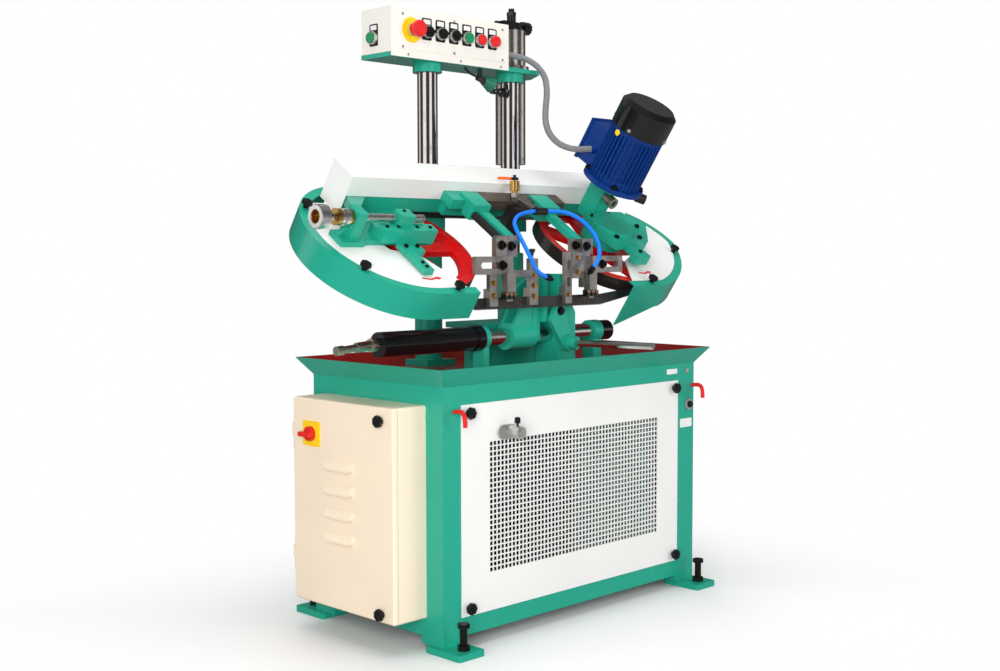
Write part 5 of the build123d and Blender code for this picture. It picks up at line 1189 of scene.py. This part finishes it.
# hooks and fittings on the front of the posts
POST_Y = -222
HOOKS = (("left_hook", -402, 516), ("right_hook", 428, 512))
HOOK_REACH = [(0, 0), (14, 3), (28, 1), (34, -12), (34, -30)]
HOOK_RADIUS = 5
SOCKET_X, SOCKET_Z = 412, 465
SOCKET_RING = [(15, 0), (15, 4), (13, 6), (9, 6), (9, 2)]
SOCKET_CORE = [(8.5, 0), (8.5, 9), (7, 10.5)]
STUD_X, STUD_Z = 403, 552
STUD = [(7, 0), (7, 3), (5, 5), (2, 5.5)]
# x, z, width and height
BLANK_PLATES = ((345, 552, 42, 13), (403, 418, 48, 22))
BLANK_CORNER, BLANK_THICKNESS = 2, 0.6


class SAW_OT_hooks(bpy.types.Operator):
    """Red hose hooks on the front posts, with the small fittings of the right post"""

    bl_idname = "saw.hooks"
    bl_label = "Hooks and post fittings"

    def execute(self, context):
        for name, x, z in HOOKS:
            route = [(x, POST_Y - reach, z + rise) for reach, rise in HOOK_REACH]
            hook = route_curve(name, route, HOOK_RADIUS, "cap_red")
            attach(hook, "base")
        socket = to_front(SOCKET_X, POST_Y, SOCKET_Z)
        fittings = Shape().turn(socket, SOCKET_RING, sides=32)
        fittings.turn(to_front(STUD_X, POST_Y, STUD_Z), STUD)
        fittings.make("post_fittings", "base", "zinc", "steel")
        Shape().turn(socket, SOCKET_CORE).make("post_socket", "base", "black", "black_plastic")
        plates = Shape()
        for x, z, width, height in BLANK_PLATES:
            plates.slab(to_front(x, POST_Y, z), box_outline(width, height, BLANK_CORNER), 0, BLANK_THICKNESS)
        plates.make("blank_plates", "base", "window", "white_paint", bevel=0.2)
        return {"FINISHED"}


# screws on the bow: u, v, n, then radius and height of the head
SLIDE_SCREWS = [
    (-457, 180, 46, 4.5, 2.5), (-425, 180, 46, 4.5, 2.5), (-372, 180, 46, 4.5, 2.5),
    (-334, 180, 46, 4.5, 2.5), (-405, 203, 72.5, 4, 2.5), (-412, 149, 16, 5, 5), (-380, 149, 16, 5, 5),
    (-409, 72, 16, 4.5, 3), (-409, 88, 16, 4.5, 3),
]
GEARBOX_SCREWS = [
    (262, 140, 50, 6.5, 6), (262, 236, 50, 6.5, 6), (392, 190, 50, 6.5, 6),
    (350, 138, 50, 6.5, 6), (330, 246, 50, 6.5, 6), (312, 90, 40, 5, 4),
]
FLANGE_N, FLANGE_RADIUS = 160, 70
# screws of the guides and of the stop arm: x, y and z
GUIDE_BOLTS = (
    ("left_guide_bolts", "guide_carrier", ((-206, -172, 823), (-197, -160, 868), (-156, -149, 866))),
    ("right_guide_bolts", "bow", ((134, -172, 823), (89, -160, 866), (62, -149, 868))),
)
GUIDE_WASHER, GUIDE_WASHER_TOP = [(11, 0), (11, 1.6), (10, 2.2)], 2.2
PAD_SCREWS = (
    ("left_pad_screws", "guide_carrier", (
        (-223, -162, 756), (-223, -162, 784), (-94, -162, 752), (-94, -162, 776), (-94, -162, 800))),
    ("right_pad_screws", "bow", ((25, -162, 752), (55, -164, 804), (55, -164, 838))),
)
STOP_ARM_BOLTS = ((38, -124, 712), (60, -124, 640))


class SAW_OT_screws(bpy.types.Operator):
    """Screws and bolts of the slide, the gearbox, the guides and the stop arm"""

    bl_idname = "saw.screws"
    bl_label = "Screws"

    def execute(self, context):
        slide = Shape()
        for u, v, n, radius, height in SLIDE_SCREWS:
            slide.screw(on_bow(u, v, n), radius, height)
        slide.make("slide_screws", "tension_slide", "bolt", "steel")

        gearbox = Shape()
        for u, v, n, radius, height in GEARBOX_SCREWS:
            gearbox.screw(on_bow(u, v, n), radius, height)
        for k in range(4):
            a = radians(45 + 90 * k)
            spot = on_bow(MOTOR_U + FLANGE_RADIUS * cos(a), MOTOR_V + FLANGE_RADIUS * sin(a), FLANGE_N)
            gearbox.hex_bolt(spot, radius=7.5, height=6)
        gearbox.make("gearbox_bolts", "bow", "bolt", "steel")

        for name, body, spots in GUIDE_BOLTS:
            bolts = Shape()
            for x, y, z in spots:
                bolts.turn(to_front(x, y, z), GUIDE_WASHER, sides=28)
                bolts.screw(to_front(x, y - GUIDE_WASHER_TOP, z), radius=7, height=8)
            bolts.make(name, body, "bolt", "steel")

        for name, body, spots in PAD_SCREWS:
            screws = Shape()
            for spot in spots:
                screws.hex_bolt(to_front(*spot), radius=5, height=4, washer=1.2)
            screws.make(name, body, "brass", "brass")

        stop_arm = Shape()
        for spot in STOP_ARM_BOLTS:
            stop_arm.hex_bolt(to_front(*spot), radius=8, height=6)
        stop_arm.make("stop_arm_bolts", "base", "bolt", "steel")
        return {"FINISHED"}


# start and tip of each arrow on the bow, in u and v, and how far its stroke bends
ARROWS = (((-429, 53), (-372, 52), -5), ((299, 56), (352, 58), -5))
ARROW_THICKNESS = 0.3


class SAW_OT_arrows(bpy.types.Operator):
    """Red arrows on the guards that show which way the band runs"""

    bl_idname = "saw.arrows"
    bl_label = "Arrows"

    def execute(self, context):
        shape = Shape()
        for start, tip, bend in ARROWS:
            self.arrow(shape, Vector(start), Vector(tip), bend)
        shape.make("band_arrows", "bow", "arrow", "red_plastic")
        return {"FINISHED"}

    @staticmethod
    def arrow(shape, start, tip, bend, half=2.8, head=7, head_length=2.2):
        """A bent stroke with a pointed head, laid on the face of the bow.

        The head is as many of its half widths long as head_length says.
        """
        along = (tip - start).normalized()
        across = Vector((-along.y, along.x))
        neck = tip - along * head_length * head
        middle = (start + neck) / 2 + across * bend
        outline = [
            start + across * half, middle + across * half, neck + across * half, neck + across * head, tip,
            neck - across * head, neck - across * half, middle - across * half, start - across * half,
        ]
        shape.slab(on_bow(0, 0, 0), [tuple(p) for p in reversed(outline)], 0, ARROW_THICKNESS)


# small pieces on the motor
FAN_SCREW_RADIUS, FAN_SCREW_N, FAN_SCREW_ANGLE = 72, 308, 20
FAN_SCREW = [(5, -1), (5, 2), (3.6, 3.6), (1, 4)]
MOTOR_DISC_U, MOTOR_DISC_V, MOTOR_DISC_N = MOTOR_U - 69, MOTOR_V + 4, 287
MOTOR_DISC = [(7.5, -1), (7.5, 0.6), (6.9, 1), (3, 1.2)]


class SAW_OT_motor_trim(bpy.types.Operator):
    """Fan cover screws and the plain yellow disc of the motor"""

    bl_idname = "saw.motor_trim"
    bl_label = "Motor trim"

    def execute(self, context):
        screws = Shape()
        for k in range(4):
            a = radians(FAN_SCREW_ANGLE + 90 * k)
            out = X_AXIS * cos(a) + BOW_UP * sin(a)
            spot = bow(MOTOR_U + FAN_SCREW_RADIUS * cos(a), MOTOR_V + FAN_SCREW_RADIUS * sin(a), FAN_SCREW_N)
            screws.turn(facing(spot, out, BOW_OUT), FAN_SCREW, sides=20)
        screws.make("fan_cover_screws", "bow", "zinc", "steel")
        seat = facing(bow(MOTOR_DISC_U, MOTOR_DISC_V, MOTOR_DISC_N), -X_AXIS, BOW_OUT)
        Shape().turn(seat, MOTOR_DISC, sides=32).make("motor_disc", "bow", "yellow", "brass")
        return {"FINISHED"}


# the tension handwheel and its hub
HANDWHEEL_U, HUB_U = -640, -607
BUSH = [(14.8, -17), (14.8, -0.6), (13.8, -0.2), (12.8, -0.8), (12.8, -16)]
HUB_RADIUS = 9.4
HUB_SCREW_WAYS = ((0, -1, 0.2), (0, 1, -0.2))


class SAW_OT_wheel_bush(bpy.types.Operator):
    """Brass bush in the bore of the tension handwheel, and the screws of its hub"""

    bl_idname = "saw.wheel_bush"
    bl_label = "Handwheel bush"

    def execute(self, context):
        seat = facing(bow(HANDWHEEL_U, TENSION_V, TENSION_N), -X_AXIS, BOW_UP)
        Shape().turn(seat, BUSH, sides=40).make("handwheel_bush", "tensioner", "brass", "brass")
        hub = Shape()
        for way in HUB_SCREW_WAYS:
            out = Vector(way).normalized()
            spot = bow(HUB_U, TENSION_V, TENSION_N) + out * HUB_RADIUS
            hub.screw(facing(spot, out, X_AXIS), radius=4.6, height=3)
        hub.make("hub_screws", "tensioner", "bolt", "steel")
        return {"FINISHED"}


# the limit clamp, and its pieces from there
CLAMP_X, CLAMP_Y, CLAMP_Z = 149, 188, 1263
CLAMP_BARREL = [(12, 0), (12, 19), (10.5, 21)]
CLAMP_ARM, CLAMP_ARM_SHIFT, CLAMP_ARM_Y = (44, 13, 3), -22, -2
CLAMP_ARM_LOW, CLAMP_ARM_HIGH = 2, 15
CLAMP_SCREW_RISE, CLAMP_SCREW_SHIFTS = 3, (-20, -36)


class SAW_OT_limit_clamp(bpy.types.Operator):
    """Black limit clamp on the right column"""

    bl_idname = "saw.limit_clamp"
    bl_label = "Limit clamp"

    def execute(self, context):
        barrel = to_front(CLAMP_X, CLAMP_Y, CLAMP_Z)
        clamp = Shape().turn(barrel, CLAMP_BARREL, sides=32)
        arm = to_front(CLAMP_X + CLAMP_ARM_SHIFT, CLAMP_Y + CLAMP_ARM_Y, CLAMP_Z)
        clamp.slab(arm, box_outline(*CLAMP_ARM), CLAMP_ARM_LOW, CLAMP_ARM_HIGH)
        clamp.make("limit_clamp", "base", "gloss_black", "black_plastic", bevel=0.6)
        barrel_face = CLAMP_Y - CLAMP_BARREL[-1][1]
        arm_face = CLAMP_Y + CLAMP_ARM_Y - CLAMP_ARM_HIGH
        screws = Shape()
        screws.screw(to_front(CLAMP_X, barrel_face, CLAMP_Z + CLAMP_SCREW_RISE), radius=3.4, height=2.5)
        for shift in CLAMP_SCREW_SHIFTS:
            screws.screw(to_front(CLAMP_X + shift, arm_face, CLAMP_Z), radius=3, height=2.5)
        screws.make("clamp_screws", "base", "zinc", "steel")
        return {"FINISHED"}


# lamps: name, place in metres, size in metres and power in watts
LAMPS = (
    ("key", (-3.4, -2.7, 1.2), 2.2, 165),
    ("fill", (2.2, -3.6, 1.2), 2.4, 56),
    ("top", (0.0, 0.0, 3.8), 2.6, 68),
    ("back", (1.6, 3.0, 2.8), 2.2, 32),
)
LAMP_TARGET = Vector((0, 0, 0.75))
# windows in the sky: the way to each, where its edge starts and ends, and its light
WINDOWS = (
    ((-0.97, -0.24, 0), 0.93, 0.95, 1.6),
    ((-0.10, -0.99, 0), 0.955, 0.97, 1.6),
    ((0.86, -0.51, 0), 0.965, 0.98, 1.3),
    ((-0.60, 0.80, 0), 0.965, 0.98, 1.0),
)
ROOM_LIGHT, CEILING_LIGHT, EVEN_LIGHT = 0.08, 0.16, 0.4
# the floor fades to white from the sides of the machine outward, in metres
FLOOR_RADIUS = 14
FLOOR_GREY = (0.92, 0.92, 0.92)
SHADOW_LENGTH, SHADOW_DEPTH, SHADOW_FADE = 0.46, 0.26, 0.75
WHITE = (1, 1, 1)


class SAW_OT_stage(bpy.types.Operator):
    """Pale floor, soft lights and the camera"""

    bl_idname = "saw.stage"
    bl_label = "Stage"

    def execute(self, context):
        self.floor()
        self.sky(context.scene)
        for name, place, size, power in LAMPS:
            self.lamp(name, Vector(place), size, power)
        self.camera(context.scene)
        context.scene.view_settings.view_transform = "Standard"
        return {"FINISHED"}

    @staticmethod
    def floor():
        """A wide disc that turns into plain white away from the machine."""
        finish = Finish("pale_floor")
        place = finish.place()
        along, across = (abs(finish.part_of(place, axis)) for axis in "XY")
        sockets = {0: along - SHADOW_LENGTH, 1: across - SHADOW_DEPTH}
        out = finish.node("ShaderNodeMath", {"operation": "MAXIMUM"}, sockets)
        far = finish.step(out, 0.0, SHADOW_FADE)
        seen = finish.node("ShaderNodeLightPath", output="Is Camera Ray")
        tone = (0.985 + finish.noise(place, scale=2, detail=3) * 0.03) * (0.35 + seen * 0.65)
        finish.set(Base_Color=finish.toned(FLOOR_GREY, tone), Roughness=0.7)
        glow = finish.node("ShaderNodeEmission", None, {"Color": WHITE, "Strength": 1.0})
        sockets = {0: far * seen, 1: Wire(finish, finish.shader.outputs[0]), 2: glow}
        finish.put(finish.output.inputs["Surface"], finish.node("ShaderNodeMixShader", None, sockets))
        angles = [radians(a) for a in range(0, 360, 6)]
        rim = [Vector((FLOOR_RADIUS * cos(a), FLOOR_RADIUS * sin(a), 0)) for a in angles]
        mesh = bpy.data.meshes.new("floor")
        mesh.from_pydata(rim, [], [tuple(range(len(rim)))])
        mesh.materials.append(finish.material)
        floor = bpy.data.objects.new("floor", mesh)
        bpy.context.scene.collection.objects.link(floor)

    @staticmethod
    def sky(scene):
        """White to the eye, an even light, and a dim room with tall windows in reflections."""
        world = bpy.data.worlds.new("studio")
        scene.world = world
        world.use_nodes = True
        sky = NodeSheet(world.node_tree)
        way = sky.node("ShaderNodeTexCoord", output="Generated")
        room = ROOM_LIGHT + sky.step(sky.part_of(way, "Z"), low=0.35, high=0.8) * CEILING_LIGHT
        for toward, low, high, light in WINDOWS:
            room = room + sky.step(sky.dot(way, toward), low, high) * light
        eye = sky.node("ShaderNodeLightPath", output="Is Camera Ray")
        mirror = sky.node("ShaderNodeLightPath", output="Is Glossy Ray")
        strength = eye + mirror * room + (1 - eye) * (1 - mirror) * EVEN_LIGHT
        light = sky.node("ShaderNodeBackground", None, {"Color": WHITE, "Strength": strength})
        output = sky.tree.nodes.new("ShaderNodeOutputWorld")
        sky.put(output.inputs["Surface"], light)

    @staticmethod
    def lamp(name, place, size, power):
        """A square lamp that looks at the machine and stays out of reflections."""
        data = bpy.data.lights.new(name, "AREA")
        data.size = size
        data.energy = power
        lamp = bpy.data.objects.new(name, data)
        lamp.location = place
        lamp.visible_glossy = False
        lamp.rotation_mode = "QUATERNION"
        lamp.rotation_quaternion = (LAMP_TARGET - place).to_track_quat("-Z", "Y")
        bpy.context.scene.collection.objects.link(lamp)

    @staticmethod
    def camera(scene):
        """The camera, placed by its heading, dip and roll."""
        sight = scene.saw_view
        data = bpy.data.cameras.new("camera")
        data.sensor_fit = "HORIZONTAL"
        data.sensor_width = 36
        data.lens = sight.lens
        camera = bpy.data.objects.new("camera", data)
        level = cos(sight.dip)
        ahead = Vector((sin(sight.heading) * level, cos(sight.heading) * level, -sin(sight.dip)))
        right = Vector((cos(sight.heading), -sin(sight.heading), 0))
        up = right.cross(ahead)
        x = right * cos(sight.roll) + up * sin(sight.roll)
        y = up * cos(sight.roll) - right * sin(sight.roll)
        turn = Matrix((x, y, -ahead)).transposed().to_4x4()
        camera.matrix_world = Matrix.Translation(Vector(sight.place)) @ turn
        scene.collection.objects.link(camera)
        scene.camera = camera


OPERATORS = (
    SAW_OT_finishes,
    SAW_OT_conduit,
    SAW_OT_hoses,
    SAW_OT_grille,
    SAW_OT_toothed_band,
    SAW_OT_hand_knobs,
    SAW_OT_control_face,
    SAW_OT_isolator_plate,
    SAW_OT_hooks,
    SAW_OT_screws,
    SAW_OT_arrows,
    SAW_OT_motor_trim,
    SAW_OT_wheel_bush,
    SAW_OT_limit_clamp,
    SAW_OT_stage,
)


class SAW_PT_panel(bpy.types.Panel):
    """Buttons for the pieces of the band saw"""

    bl_idname = "SAW_PT_panel"
    bl_label = "Band saw"
    bl_space_type = "VIEW_3D"
    bl_region_type = "UI"
    bl_category = "Band saw"

    def draw(self, context):
        for operator in OPERATORS:
            self.layout.operator(operator.bl_idname)


GROUPS = (SawColours, SawSizes, SawView)
CLASSES = (*GROUPS, *OPERATORS, SAW_PT_panel)


def register():
    for cls in CLASSES:
        bpy.utils.register_class(cls)
    bpy.types.Scene.saw_colours = PointerProperty(type=SawColours)
    bpy.types.Scene.saw_sizes = PointerProperty(type=SawSizes)
    bpy.types.Scene.saw_view = PointerProperty(type=SawView)


def unregister():
    del bpy.types.Scene.saw_view
    del bpy.types.Scene.saw_sizes
    del bpy.types.Scene.saw_colours
    for cls in reversed(CLASSES):
        bpy.utils.unregister_class(cls)


def main():
    register()
    for operator in OPERATORS:
        group, name = operator.bl_idname.split(".")
        getattr(getattr(bpy.ops, group), name)()


if __name__ == "__main__":
    main()
